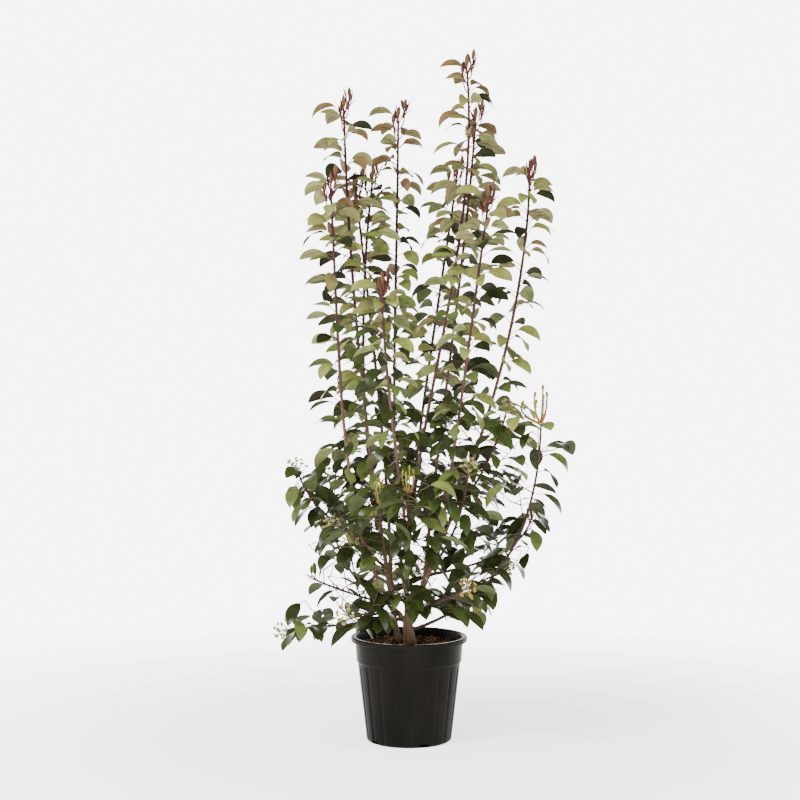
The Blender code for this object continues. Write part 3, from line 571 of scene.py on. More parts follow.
def bark_material(name, stops, grain, stretch, contrast, relief):
    """Bark whose colour changes with height, with long streaks, pale flecks and fine cracks."""
    material, tree, shader = shader_parts(name)
    place = tree.nodes.new("ShaderNodeTexCoord")
    parts = tree.nodes.new("ShaderNodeSeparateXYZ")
    tree.links.new(place.outputs["Object"], parts.inputs["Vector"])
    height = tree.nodes.new("ShaderNodeMapRange")
    height.inputs["From Min"].default_value = 0.24
    height.inputs["From Max"].default_value = 1.75
    tree.links.new(parts.outputs["Z"], height.inputs["Value"])
    base = ramp_node(tree, height.outputs["Result"], stops)
    streaks = noise_node(tree, grain, 6.0, (1.0, 1.0, stretch))
    dim, lit = 1.0 - contrast, 1.0 + contrast
    tone = ramp_node(tree, streaks.outputs["Fac"], [(0.32, (dim, dim, dim)), (0.68, (lit, lit, lit))])
    streaked = mix_node(tree, "MULTIPLY", 1.0, base.outputs["Color"], tone.outputs["Color"])
    flecks = noise_node(tree, 330.0, 2.0, (1.0, 1.0, 0.5))
    spots = ramp_node(tree, flecks.outputs["Fac"], [(0.62, (1.0, 1.0, 1.0)), (0.74, (1.25, 1.22, 1.20))])
    colour = mix_node(tree, "MULTIPLY", 1.0, streaked, spots.outputs["Color"])
    tree.links.new(colour, shader.inputs["Base Color"])
    tree.links.new(range_node(tree, streaks.outputs["Fac"], 0.55, 0.78), shader.inputs["Roughness"])
    add_bump(tree, shader, streaks.outputs["Fac"], relief, 0.0014)
    shader.inputs["Specular IOR Level"].default_value = 0.07
    return material


def pot_material():
    """Moulded black plastic: satin, with faint scuffs and a fine grain."""
    material, tree, shader = shader_parts("pot_plastic")
    scuffs = noise_node(tree, 14.0, 8.0, (1.0, 1.0, 0.45))
    tones = [(0.35, (0.0040, 0.0036, 0.0028)), (0.60, (0.0060, 0.0054, 0.0043)), (0.80, (0.0092, 0.0083, 0.0067))]
    ramp = ramp_node(tree, scuffs.outputs["Fac"], tones)
    tree.links.new(ramp.outputs["Color"], shader.inputs["Base Color"])
    tree.links.new(range_node(tree, scuffs.outputs["Fac"], 0.30, 0.40), shader.inputs["Roughness"])
    grain = noise_node(tree, 900.0, 2.0)
    add_bump(tree, shader, grain.outputs["Fac"], 0.10, 0.0004)
    shader.inputs["Specular IOR Level"].default_value = 0.022
    return material


def crumb_material(name, dark, light, roughness=0.92, scale=180.0):
    """Rough crumbly stuff, such as compost or bark chips."""
    material, tree, shader = shader_parts(name)
    crumbs = noise_node(tree, scale, 8.0)
    ramp = ramp_node(tree, crumbs.outputs["Fac"], [(0.34, dark), (0.68, light)])
    tree.links.new(ramp.outputs["Color"], shader.inputs["Base Color"])
    tree.links.new(range_node(tree, crumbs.outputs["Fac"], roughness - 0.08, roughness), shader.inputs["Roughness"])
    add_bump(tree, shader, crumbs.outputs["Fac"], 0.9, 0.003)
    shader.inputs["Specular IOR Level"].default_value = 0.2
    return material


def shade_below(material, low, high, share):
    """Painted shade: darken a material to a share of its colour, from one height down to another."""
    tree = material.node_tree
    colour = next(node for node in tree.nodes if node.type == "BSDF_PRINCIPLED").inputs["Base Color"]
    parts = tree.nodes.new("ShaderNodeSeparateXYZ")
    tree.links.new(tree.nodes.new("ShaderNodeTexCoord").outputs["Object"], parts.inputs["Vector"])
    shade = ramp_node(tree, parts.outputs["Z"], [(low, (share, share, share)), (high, (1.0, 1.0, 1.0))])
    dimmed = mix_node(tree, "MULTIPLY", 1.0, colour.links[0].from_socket, shade.outputs["Color"])
    tree.links.new(dimmed, colour)


# Meshes

class Heap:
    """Corners and four-sided faces of one piece, gathered from many small shapes."""

    def __init__(self):
        self.corners = []
        self.faces = []
        self.count = 0

    def add(self, corners, faces):
        self.corners.append(np.asarray(corners, float))
        self.faces.append(np.asarray(faces, int) + self.count)
        self.count += len(corners)

    def mesh(self, name):
        corners = np.concatenate(self.corners)
        faces = np.concatenate(self.faces)
        mesh = bpy.data.meshes.new(name)
        mesh.vertices.add(len(corners))
        mesh.vertices.foreach_set("co", corners.ravel())
        mesh.loops.add(faces.size)
        mesh.loops.foreach_set("vertex_index", faces.ravel().astype(np.int32))
        mesh.polygons.add(len(faces))
        mesh.polygons.foreach_set("loop_start", np.arange(0, faces.size, 4, dtype=np.int32))
        mesh.update(calc_edges=True)
        mesh.shade_smooth()
        return mesh


def add_piece(name, mesh, material, nodes=()):
    """Put a mesh in the scene as a piece of the plant or pot."""
    thing = bpy.data.objects.new(name, mesh)
    bpy.context.scene.collection.objects.link(thing)
    mesh.materials.clear()
    mesh.materials.append(material)
    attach(thing, "root")
    if nodes:
        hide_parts(*nodes)
    return thing


def grid_faces(rows, columns, wrapped=False):
    """Faces between rows of corners; wrapped rows close on themselves."""
    faces = []
    last = columns if wrapped else columns - 1
    for row in range(rows - 1):
        for column in range(last):
            here = row * columns + column
            beside = row * columns + (column + 1) % columns
            faces.append((here, beside, beside + columns, here + columns))
    return np.array(faces)


def tube_grid(centres, directions, radii, sides):
    """Rings of corners along a centre line, each with a radius for every side, closed at both ends."""
    angles = np.arange(sides) * math.tau / sides
    rows = []
    for centre, direction, radius in zip(centres, directions, radii):
        first, second = across(direction)
        ring = np.outer(np.cos(angles) * radius, first) + np.outer(np.sin(angles) * radius, second)
        rows.append(ring + np.array(centre))
    rows.insert(0, np.repeat(rows[0].mean(axis=0)[None], sides, axis=0))
    rows.append(np.repeat(rows[-1].mean(axis=0)[None], sides, axis=0))
    return np.concatenate(rows), grid_faces(len(rows), sides, wrapped=True)


def coarse_tube(limb, distances, sides, grow=0.0):
    """A plain open tube for the clearance tests."""
    corners = []
    for distance in distances:
        centre = limb.point(distance)
        first, second = across(limb.direction(distance))
        radius = limb.radius(distance) + grow
        for k in range(sides):
            angle = math.tau * k / sides
            corners.append(centre + (first * math.cos(angle) + second * math.sin(angle)) * radius)
    faces = [tuple(face) for face in grid_faces(len(distances), sides, wrapped=True)]
    return corners, faces


def coarse_leaf(root, heading, size, margin=0.0):
    """A leaf of eight faces for the clearance tests, the same as a leaf of the solids."""
    length, width, rise, fall, roll = size[:5]
    side = UP.cross(heading).normalized()
    side = (side * math.cos(roll) + UP * math.sin(roll)).normalized()
    bend = fall - rise

    def centre(share):
        turn = rise + bend * share
        run = (math.sin(turn) - math.sin(rise)) / bend
        lift = (math.cos(rise) - math.cos(turn)) / bend
        return root + heading * (run * length) + UP * (lift * length)

    half = width / 2 + margin
    middle = centre(LEAF_WIDEST)
    corners = [
        centre(0.08), middle + side * half, middle - side * half,
        centre(1.0 + margin / length), middle + UP * margin, middle - UP * (margin + 0.001),
    ]
    faces = []
    for here, there in ((0, 1), (1, 3), (3, 2), (2, 0)):
        faces.append((there, here, 4))
        faces.append((here, there, 5))
    return corners, faces


def leaf_line(root, heading, size):
    """Centres and tangents along a leaf: a straight stalk, then a blade that arches over."""
    length, _, rise, fall, _ = size[:5]
    shares = np.concatenate([
        np.linspace(0.0, STALK_SHARE, STALK_STATIONS, endpoint=False),
        np.linspace(STALK_SHARE, 1.0, BLADE_STATIONS),
    ])
    fine = np.linspace(0.0, 1.0, 120)
    on_blade = np.clip((fine - STALK_SHARE) / (1.0 - STALK_SHARE), 0.0, 1.0)
    turn = rise + (fall - rise) * on_blade ** BLADE_BEND_POWER
    step = length / (len(fine) - 1)
    run = np.concatenate([[0.0], np.cumsum(np.cos(turn[:-1])) * step])
    lift = np.concatenate([[0.0], np.cumsum(np.sin(turn[:-1])) * step])
    run = np.interp(shares, fine, run)
    lift = np.interp(shares, fine, lift)
    turn = np.interp(shares, fine, turn)
    heading, up, root = np.array(heading), np.array(UP), np.array(root)
    centres = root + run[:, None] * heading + lift[:, None] * up
    tangents = np.cos(turn)[:, None] * heading + np.sin(turn)[:, None] * up
    return centres, tangents


def add_leaf(leaf, top, under, stalk):
    """Add one leaf to the heaps for its upper skin, its underside and its stalk with the midrib."""
    root, heading, size, chance = leaf["root"], leaf["heading"], leaf["size"], leaf["chance"]
    width, roll, fold = size[1], size[4], size[5]
    centres, tangents = leaf_line(root, heading, size)
    twist = math.radians(chance.uniform(-BLADE_TWIST, BLADE_TWIST))
    along = np.linspace(0.0, 1.0, len(centres))
    rolls = roll + twist * along
    level = np.array(UP.cross(heading).normalized())
    sides = np.cos(rolls)[:, None] * level + np.sin(rolls)[:, None] * np.array(UP)
    normals = np.cross(tangents, sides)
    normals /= np.linalg.norm(normals, axis=1)[:, None]
    sides = np.cross(normals, tangents)

    blade = slice(STALK_STATIONS, None)
    share = np.linspace(0.0, 1.0, BLADE_STATIONS)
    outline = np.sin(np.pi * share ** 1.06) ** (0.78 + 0.06 * share)
    half = np.maximum(width / 2 * outline, 0.00025)
    columns = np.array(BLADE_COLUMNS)
    away = np.abs(columns)
    wave = np.sin(share * 17.0 + chance.uniform(0.0, 6.0))[:, None] * away ** 2 * BLADE_WAVE
    lift = (away * math.sin(fold) - away ** 2 * BLADE_CURL)[None] + wave
    surface = (
        centres[blade][:, None]
        + sides[blade][:, None] * (half[:, None] * columns * math.cos(fold))[..., None]
        + normals[blade][:, None] * (half[:, None] * lift)[..., None]
    )
    offset = (normals[blade] * BLADE_HALF_THICKNESS)[:, None]
    faces = grid_faces(BLADE_STATIONS, len(columns))
    top.add((surface + offset).reshape(-1, 3), faces[:, ::-1])
    under.add((surface - offset).reshape(-1, 3), faces)

    radii = np.concatenate([
        np.full(STALK_STATIONS, STALK_RADIUS), np.linspace(*MIDRIB_RADII, BLADE_STATIONS),
    ])
    angles = np.arange(STALK_SIDES) * math.tau / STALK_SIDES
    rings = (
        centres[:, None]
        + (sides[:, None] * np.cos(angles)[:, None] + normals[:, None] * np.sin(angles)[:, None])
        * radii[:, None, None]
    )
    stalk.add(rings.reshape(-1, 3), grid_faces(len(centres), STALK_SIDES, wrapped=True)[:, ::-1])


def add_strand(heap, points, radii, sides=6):
    """A thin bent stalk through a few guide points."""
    limb = curved(points, radii[0], radii[1])
    distances = steps(0.0, limb.length, 7)
    shares = np.linspace(0.0, 1.0, len(distances))
    widths = np.interp(shares, np.linspace(0.0, 1.0, len(radii)), radii)
    centres = [limb.point(distance) for distance in distances]
    directions = [limb.direction(distance) for distance in distances]
    heap.add(*tube_grid(centres, directions, [np.full(sides, width) for width in widths], sides))
    return limb


def add_bud(heap, centre, direction, length, half, sides=7):
    """A small rounded bud, longer than wide where length is more than twice half."""
    shares = np.array([0.0, 0.15, 0.38, 0.62, 0.85, 1.0])
    widths = np.sqrt(np.clip(1.0 - (2.0 * shares - 1.0) ** 2, 0.0, 1.0)) * half
    centres = [centre + direction * (length * (share - 0.5)) for share in shares]
    rings = [np.full(sides, max(width, half * 0.05)) for width in widths]
    heap.add(*tube_grid(centres, [direction] * len(shares), rings, sides))


# Crown

def outward(limb, distance, azimuth):
    """The heading of a leaf or twig that leaves a shoot at an azimuth round it."""
    along = limb.direction(distance)
    first, second = across(along)
    out = first * math.cos(azimuth) + second * math.sin(azimuth)
    centre = limb.point(distance)
    from_axis = Vector((centre.x, centre.y, 0.0))
    level = Vector((out.x, out.y, 0.0)) + Vector((along.x, along.y, 0.0)) * LEAN_ALONG_SHOOT
    if from_axis.length > CROWN_MIDDLE_RADIUS:
        level += from_axis.normalized() * LEAN_OUT_OF_CROWN
    return out, level.normalized()


def leaf_size(chance, height, near_tip):
    """Length, width, rise, fall, roll and fold of a leaf: larger and more drooping low in the crown."""
    upper = smooth_share(height, LOWER_CROWN_TOP, UPPER_CROWN_FOOT)
    here = {key: low + (UPPER_LEAF[key] - low) * upper for key, low in LOWER_LEAF.items()}
    length = here["length"] * chance.uniform(*LEAF_SIZE_SHARES) * (1.0 - TIP_LEAF_CUT * near_tip)
    rise = here["rise"] + TIP_LEAF_RISE * near_tip + chance.uniform(-LEAF_RISE_RANGE, LEAF_RISE_RANGE)
    fall = here["fall"] + TIP_LEAF_LIFT * near_tip + chance.uniform(-LEAF_FALL_RANGE, LEAF_FALL_RANGE)
    fall = min(fall, rise - 8.0)
    roll = here["roll"] * chance.uniform(ROLL_LEAST, 1.0) * chance.choice((-1.0, 1.0))
    fold = here["fold"] * chance.uniform(0.5, 1.5)
    width = length * here["width_share"] * chance.uniform(0.88, 1.12)
    return length, width, math.radians(rise), math.radians(fall), math.radians(roll), math.radians(fold)


def in_crown(place, name):
    """True inside the reach of the whole crown, which narrows below towards the pot."""
    share = CROWN_FOOT_SHARE + (1.0 - CROWN_FOOT_SHARE) * smooth_share(place.z, CROWN_FOOT, CROWN_WIDEST)
    if name in FREE_BOUGHS:
        share = 1.0
    return (
        CROWN_LEFT * share < place.x < CROWN_RIGHT * share
        and CROWN_FRONT * share < place.y < CROWN_BACK * share
        and place.z > lowest_leaf(math.hypot(place.x, place.y))
    )


def lowest_leaf(away):
    """How low a leaf may hang at a distance from the pot's axis, clear of the compost and rim."""
    if away < RIM_INSIDE:
        return LOWEST_INNER_LEAF
    return LOWEST_RIM_LEAF if away < RIM_OUTSIDE else LOWEST_LEAF


def as_block(shape, owner=None):
    """A shape's own tree for touch tests, with a ball round it."""
    corners, faces = shape
    middle = sum(corners, Vector()) / len(corners)
    reach = max((corner - middle).length for corner in corners)
    return owner, BVHTree.FromPolygons([tuple(c) for c in corners], faces), middle, reach


class Crown:
    """All the leafy shoots, grown so that each one keeps to its own space."""

    def __init__(self):
        self.blocks = []
        self.shoots = {}
        self.leaves = []
        self.twigs = []
        self.nodes = {}

    def is_clear(self, shape, carriers=()):
        """True where a shape touches nothing but what carries it."""
        _, tree, middle, reach = as_block(shape)
        for owner, other, place, radius in self.blocks:
            if (place - middle).length < reach + radius and owner not in carriers and tree.overlap(other):
                return False
        return True

    def start_shoot(self, name, limb, split):
        """Add a limb and the stem of its shoot."""
        bare = steps(0.0, split, 12)
        self.blocks.append(as_block(coarse_tube(limb, bare, 5, CLEARANCE), name if name in SIDE_BOUGHS else None))
        stem = limb.straightened(split, SHOOT_SAMPLES)
        for low, high in zip(range(0, SHOOT_SAMPLES, 5), range(5, SHOOT_SAMPLES + 1, 5)):
            shape = coarse_tube(stem, stem.lengths[low:high + 1], 4, CLEARANCE)
            self.blocks.append(as_block(shape, name))
        self.shoots[name] = [(stem, 0.0, name)]
        self.nodes[name] = []

    def try_twig(self, name, stem, distance, words, index, lengths, carriers):
        """Find a clear place for a twig on a stem; returns it, or None."""
        root = stem.point(distance)
        for attempt in range(TWIG_TRIES):
            chance = draws(name, *words, attempt)
            azimuth = GOLDEN_ANGLE * index + attempt * TWIG_TURN_AGAIN
            azimuth += chance.uniform(-TWIG_TURN_RANGE, TWIG_TURN_RANGE)
            out, level = outward(stem, distance, azimuth)
            length = chance.uniform(*lengths)
            rise = UP * (length * chance.uniform(*TWIG_LIFTS))
            aim = (out + level + stem.direction(distance) * TWIG_LEAN_ALONG).normalized() * length
            points = (root, root + aim * 0.4, root + aim * 0.8 + rise * 0.3, root + aim + rise)
            twig = curved(points, TWIG_FOOT_RADIUS, TWIG_TIP_RADIUS).straightened(0.0, TWIG_SAMPLES)
            leave = stem.radius(distance) * TWIG_FREE_RADII + CLEARANCE
            free = [leave, *twig.lengths[1:]]
            if in_crown(twig.samples[-1], name) and self.is_clear(coarse_tube(twig, free, 3, CLEARANCE), carriers):
                key = "/".join(str(word) for word in (name, *words))
                self.blocks.append(as_block(coarse_tube(twig, free, 3), key))
                self.twigs.append(twig)
                return twig, leave, key
        return None

    def add_twigs(self, name, count):
        """Twigs that spiral up a shoot's stem and turn up towards their tips, with a twiglet each."""
        stem, _, key = self.shoots[name][0]
        for k, share in enumerate(steps(*TWIG_SHARES, count - 1)):
            index = k // 2 if k % 2 == 0 else k / 2
            distance = stem.length * share
            twig = self.try_twig(name, stem, distance, ("twig", index), index, TWIG_LENGTHS, (key,))
            if not twig:
                continue
            self.shoots[name].append(twig)
            self.nodes[name].append(distance)
            small = self.try_twig(
                name, twig[0], twig[0].length * TWIGLET_SHARE, ("twiglet", index), index + 0.3,
                TWIGLET_LENGTHS, (key, twig[2]),
            )
            if small:
                self.shoots[name].append(small)

    def map_space(self):
        """Note which shoot is nearest to any place."""
        spots = []
        for number, name in enumerate(self.shoots):
            for limb, start, _ in self.shoots[name]:
                count = max(2, int((limb.length - start) / SPACE_STEP))
                spots += [(limb.point(distance), number) for distance in steps(start, limb.length, count)]
        self.owners = [owner for _, owner in spots]
        self.tree = KDTree(len(spots))
        for k, (place, _) in enumerate(spots):
            self.tree.insert(place, k)
        self.tree.balance()
        self.numbers = {name: number for number, name in enumerate(self.shoots)}

    def is_own_space(self, name, place):
        number = self.numbers[name]
        _, _, nearest = self.tree.find(place)
        mine = self.tree.find(place, filter=lambda k: self.owners[k] == number)[2]
        return mine <= nearest * SPACE_SLACK

    def add_leaves(self, name, shoot, count, shares, crowding=1.0, finer=SIDE_FINER):
        """Leaves that spiral up a stem or twig, each skipped where it finds no clear place."""
        limb, start, key = shoot
        first_share, last_share = shares
        for k in range(count):
            index = k // finer if k % finer == 0 else k / finer
            share = first_share + (last_share - first_share) * (k / (count - 1)) ** crowding
            distance = start + (limb.length - start) * share
            root = limb.point(distance)
            away = smooth_share(math.hypot(root.x, root.y), OUTER_FROM, OUTER_TO)
            thinned = OUTER_THINNING * away if root.z < OUTER_TOP and name not in FREE_BOUGHS else 0.0
            for attempt in range(LEAF_TRIES):
                chance = draws(name, round(start, 4), (count - 1) // finer + 1, index, attempt)
                azimuth = GOLDEN_ANGLE * index + attempt * LEAF_TURN_AGAIN
                azimuth += chance.uniform(-LEAF_TURN_RANGE, LEAF_TURN_RANGE)
                _, level = outward(limb, distance, azimuth)
                size = leaf_size(chance, root.z, smooth_share(share, TIP_SHARE, 1.0))
                if not self.is_own_space(name, root + level * (size[0] * LEAF_WIDEST)):
                    continue
                if chance.random() < thinned:
                    break
                ahead = coarse_leaf(root, level, size, CLEARANCE)
                if not all(in_crown(corner, name) for corner in ahead[0]) or not self.is_clear(ahead, (key,)):
                    continue
                self.blocks.append(as_block(coarse_leaf(root, level, size)))
                self.leaves.append(dict(
                    root=root, heading=level, size=size, chance=chance, name=name, share=share,
                ))
                if limb is self.shoots[name][0][0]:
                    self.nodes[name].append(distance)
                break


# Leaf colours: upper skin, underside, stalk, and the record's slot
LEAF_LOOKS = {
    "dark_leaves": ((0.018, 0.024, 0.0062), (0.030, 0.038, 0.016), "green", "foliage_lower", 0.25, 0.17),
    "deep_leaves": ((0.029, 0.041, 0.0095), (0.042, 0.054, 0.020), "green", "foliage_lower", 0.25, 0.17),
    "mid_leaves": ((0.072, 0.092, 0.0230), (0.098, 0.114, 0.044), "green", "foliage_lower", 0.30, 0.14),
    "lime_leaves": ((0.146, 0.164, 0.040), (0.192, 0.206, 0.078), "green", "foliage_lower", 0.36, 0.13),
    "olive_leaves": ((0.142, 0.146, 0.040), (0.186, 0.186, 0.074), "red", "foliage_upper", 0.36, 0.11),
    "tan_leaves": ((0.128, 0.110, 0.040), (0.172, 0.148, 0.068), "red", "foliage_upper", 0.36, 0.10),
    "bronze_leaves": ((0.104, 0.066, 0.026), (0.142, 0.096, 0.044), "red", "foliage_upper", 0.34, 0.11),
    # painted shade: near-black leaf colours dealt to some upper-crown leaves to stand for leaves in shade
    "shade_leaves": ((0.012, 0.015, 0.0050), (0.020, 0.022, 0.010), "red", "foliage_upper", 0.26, 0.15),
}

# Chances of each look at heights up the crown, from the compost to the top
LOOKS_BY_HEIGHT = (
    (0.20, dict(dark_leaves=0.70, deep_leaves=0.28, mid_leaves=0.02)),
    (0.50, dict(dark_leaves=0.58, deep_leaves=0.33, mid_leaves=0.08, lime_leaves=0.01)),
    (0.80, dict(dark_leaves=0.22, deep_leaves=0.24, mid_leaves=0.30, lime_leaves=0.18, shade_leaves=0.06)),
    (1.05, dict(deep_leaves=0.14, mid_leaves=0.26, lime_leaves=0.28, olive_leaves=0.16, shade_leaves=0.16)),
    (1.30, dict(mid_leaves=0.12, lime_leaves=0.24, olive_leaves=0.34, tan_leaves=0.14, shade_leaves=0.16)),
    (1.50, dict(lime_leaves=0.10, olive_leaves=0.36, tan_leaves=0.26, bronze_leaves=0.16, shade_leaves=0.12)),
    (1.76, dict(olive_leaves=0.30, tan_leaves=0.32, bronze_leaves=0.28, shade_leaves=0.10)),
)


def leaf_look(leaf):
    """Deal out a leaf's colour by its height, its shoot and its nearness to the shoot's tip."""
    height = leaf["root"].z
    chance = draws(leaf["name"], round(height, 4), "look")
    if leaf["name"] in STEMS:
        height += 0.16 * smooth_share(leaf["share"], 0.6, 1.0)
    else:
        height -= 0.05
    heights = [row[0] for row in LOOKS_BY_HEIGHT]
    looks = list(LEAF_LOOKS)
    weights = [
        float(np.interp(height, heights, [row[1].get(look, 0.0) for row in LOOKS_BY_HEIGHT])) for look in looks
    ]
    return chance.choices(looks, weights)[0]


def young_shoot(heaps, root, along, name, count=6):
    """Narrow copper-red leaves that stand up in a bunch over a bright red collar."""
    chance = draws(name, "young shoot")
    first, second = across(along)
    for index in range(count):
        azimuth = GOLDEN_ANGLE * index + chance.uniform(-0.3, 0.3)
        out = first * math.cos(azimuth) + second * math.sin(azimuth)
        inner = index / (count - 1)
        start = root + along * (0.018 * inner - 0.012)
        flat = Vector((out.x, out.y, 0.0)).normalized()
        length = chance.uniform(0.040, 0.056) * (1.0 - 0.25 * inner)
        size = (
            length, chance.uniform(0.0095, 0.0135), math.radians(60.0 + 24.0 * inner),
            math.radians(chance.uniform(66.0, 112.0)), chance.uniform(-0.7, 0.7), math.radians(30.0),
        )
        kind = "young_red" if chance.random() < 0.25 else "young_brown"
        kind = kind if name.rstrip("0123456789") in STEMS else "young_green"
        leaf = dict(root=start, heading=flat, size=size, chance=chance)
        add_leaf(leaf, heaps[kind], heaps[kind], heaps["collars"])
    for index in range(3):
        azimuth = math.tau * index / 3 + chance.uniform(-0.3, 0.3)
        out = first * math.cos(azimuth) + second * math.sin(azimuth)
        foot = root - along * 0.016
        reach = chance.uniform(0.008, 0.016)
        points = (foot, foot + along * 0.010, foot + along * 0.022 + out * reach * 0.5, foot + along * 0.030 + out * reach)
        add_strand(heaps["collars"], points, (0.0017, 0.0013, 0.0007))
    add_bud(heaps["young_red"], root + along * 0.012, along, 0.026, 0.0022)


def candle(heaps, root, along, name):
    """Thin upright flower stalks, orange at the foot and paler above, with brown bud tips."""
    chance = draws(name, "candle")
    first, second = across(along)
    count = 6
    thick, orange = (1.9, 0.36) if name in TALL_CANDLES else (1.0, 0.18)
    for index in range(count):
        azimuth = math.tau * index / count + chance.uniform(-0.35, 0.35)
        out = first * math.cos(azimuth) + second * math.sin(azimuth)
        central = index == 0
        size = 1.0 if name in TALL_CANDLES else LOW_CANDLE_SHARE
        open_out = 2.2 if name in TALL_CANDLES and out.x < -0.8 else 1.0
        length = (0.094 if central else chance.uniform(0.052, 0.082)) * size
        spread = (0.002 if central else chance.uniform(0.008, 0.026)) * size * open_out
        foot = root - along * 0.004
        low = foot + along * (length * orange) + out * (spread * 0.9)
        high = foot + along * (length * 0.62) + out * (spread * 1.25)
        tip = foot + along * length + out * spread
        add_strand(heaps["candle_feet"], (foot, foot.lerp(low, 0.4), foot.lerp(low, 0.8), low), (0.0019 * thick, 0.0013 * thick))
        body = "candle_stalks" if index % 2 == 0 else "candle_wires"
        bent = add_strand(heaps[body], (foot, low, high, tip), (0.0015 * thick, 0.0011 * thick))
        end = bent.direction(bent.length)
        add_bud(heaps["candle_tips" if name in TALL_CANDLES else "candle_stalks"], tip, end, 0.015, 0.0021 * thick)
        for step in range(4):
            share = 0.42 + 0.15 * step
            place = bent.point(bent.length * share)
            turn = azimuth + 2.4 * step
            aside = (end + (first * math.cos(turn) + second * math.sin(turn)) * 0.55).normalized()
            heap = heaps["candle_tips"] if chance.random() < 0.2 else heaps["candle_stalks"]
            add_bud(heap, place + aside * 0.004, aside, chance.uniform(0.009, 0.015), 0.0012)


def panicle(heaps, root, along, name):
    """A spread head of fine green branches that end in cream buds."""
    chance = draws(name, "panicle")
    buds = "golden_buds" if name in GOLDEN_PANICLES else "flower_buds"
    first, second = across(along)
    root = root - along * 0.010
    rachis = 0.026
    top = root + along * rachis
    add_strand(heaps["panicle_stalks"], (root - along * 0.004, root, root + along * 0.012, top), (0.0018, 0.0012))
    count = 13
    for index in range(count):
        share = index / (count - 1)
        azimuth = GOLDEN_ANGLE * index
        out = first * math.cos(azimuth) + second * math.sin(azimuth)
        foot = root + along * (rachis * (0.15 + 0.85 * share))
        reach = 0.024 * (1.0 - 0.55 * share) * chance.uniform(0.85, 1.1)
        lift = 0.010 + 0.006 * share
        tip = foot + out * reach + along * lift
        add_strand(heaps["panicle_stalks"], (foot, foot.lerp(tip, 0.4), foot.lerp(tip, 0.8), tip), (0.0010, 0.0008), 5)
        for bud in range(6):
            turn = math.tau * bud / 6 + chance.uniform(-0.4, 0.4)
            aside = (out * 0.5 + along * 0.7 + (first * math.cos(turn) + second * math.sin(turn)) * 0.6).normalized()
            place = tip + aside * chance.uniform(0.0030, 0.0068)
            size = chance.uniform(0.0034, 0.0050)
            kind = "candle_tips" if chance.random() < 0.18 else buds
            add_bud(heaps[kind], place, aside, size * 1.15, size / 2)


FLOWER_LOOKS = {
    "young_green": ((0.050, 0.058, 0.014), 0.40, "foliage_lower"),
    "young_red": ((0.060, 0.019, 0.014), 0.40, "foliage_upper"),
    "young_brown": ((0.084, 0.048, 0.022), 0.42, "foliage_upper"),
    "collars": ((0.080, 0.012, 0.012), 0.36, "foliage_upper"),
    "candle_feet": ((0.240, 0.100, 0.020), 0.45, "foliage_lower"),
    "candle_stalks": ((0.185, 0.170, 0.030), 0.45, "foliage_lower"),
    "candle_wires": ((0.130, 0.080, 0.036), 0.50, "foliage_lower"),
    "candle_tips": ((0.200, 0.110, 0.030), 0.50, "foliage_lower"),
    "panicle_stalks": ((0.110, 0.105, 0.034), 0.50, "foliage_lower"),
    "flower_buds": ((0.230, 0.210, 0.088), 0.55, "foliage_lower"),
    "golden_buds": ((0.250, 0.170, 0.040), 0.55, "foliage_lower"),
}
SIDE_SHOOT_COUNT = 2
SIDE_SHOOT_FIRST = 0.022
SIDE_SHOOT_STEP = 0.034
SIDE_SHOOT_LENGTHS = (0.028, 0.046)
TALL_CANDLES = ("low_right_bough",)
LOW_CANDLE_SHARE = 0.68
GOLDEN_PANICLES = ("low_front_right_bough", "low_back_bough")
SHOOT_BUILDERS = {"young": young_shoot, "candle": candle, "panicle": panicle}
STALK_LOOKS = {
    "red": ((0.070, 0.020, 0.015), 0.40, "foliage_upper"),
    "green": ((0.062, 0.050, 0.022), 0.42, "foliage_lower"),
}


# Wood

def bark_radii(limb, distances, sides, nodes, flare=None, collar=0.0, growth=0.0):
    """A radius for every side at each distance: taper, collar, fissures, lumps and leaf scars."""
    nodes = np.array(sorted(nodes)) if nodes else np.array([-1.0])
    rows = []
    for distance in distances:
        plain = limb.radius(max(distance, 0.0))
        plain += growth * smooth_share(distance, limb.length * 0.2, limb.length * 0.8)
        centre = limb.point(max(distance, 0.0))
        swell = NODE_SWELL * float(np.exp(-((nodes - distance) / NODE_WIDTH) ** 2).max())
        foot = COLLAR_SHARE * collar * math.exp(-((distance / COLLAR_LENGTH) ** 2))
        row = []
        for k in range(sides):
            angle = math.tau * k / sides
            spot = Vector((math.cos(angle), math.sin(angle), 0.0))
            lumps = noise.noise(spot * 1.4 + centre * 55.0)
            cracks = abs(noise.noise(Vector((spot.x * 5.0, spot.y * 5.0, centre.z * 42.0))))
            share = 1.0 + swell + foot + BARK_RELIEF_SHARE * lumps - FISSURE_SHARE * (0.35 - min(cracks, 0.35))
            radius = plain * share
            if flare:
                radius += flare(centre.z, angle)
            row.append(radius)
        rows.append(np.array(row))
    return rows


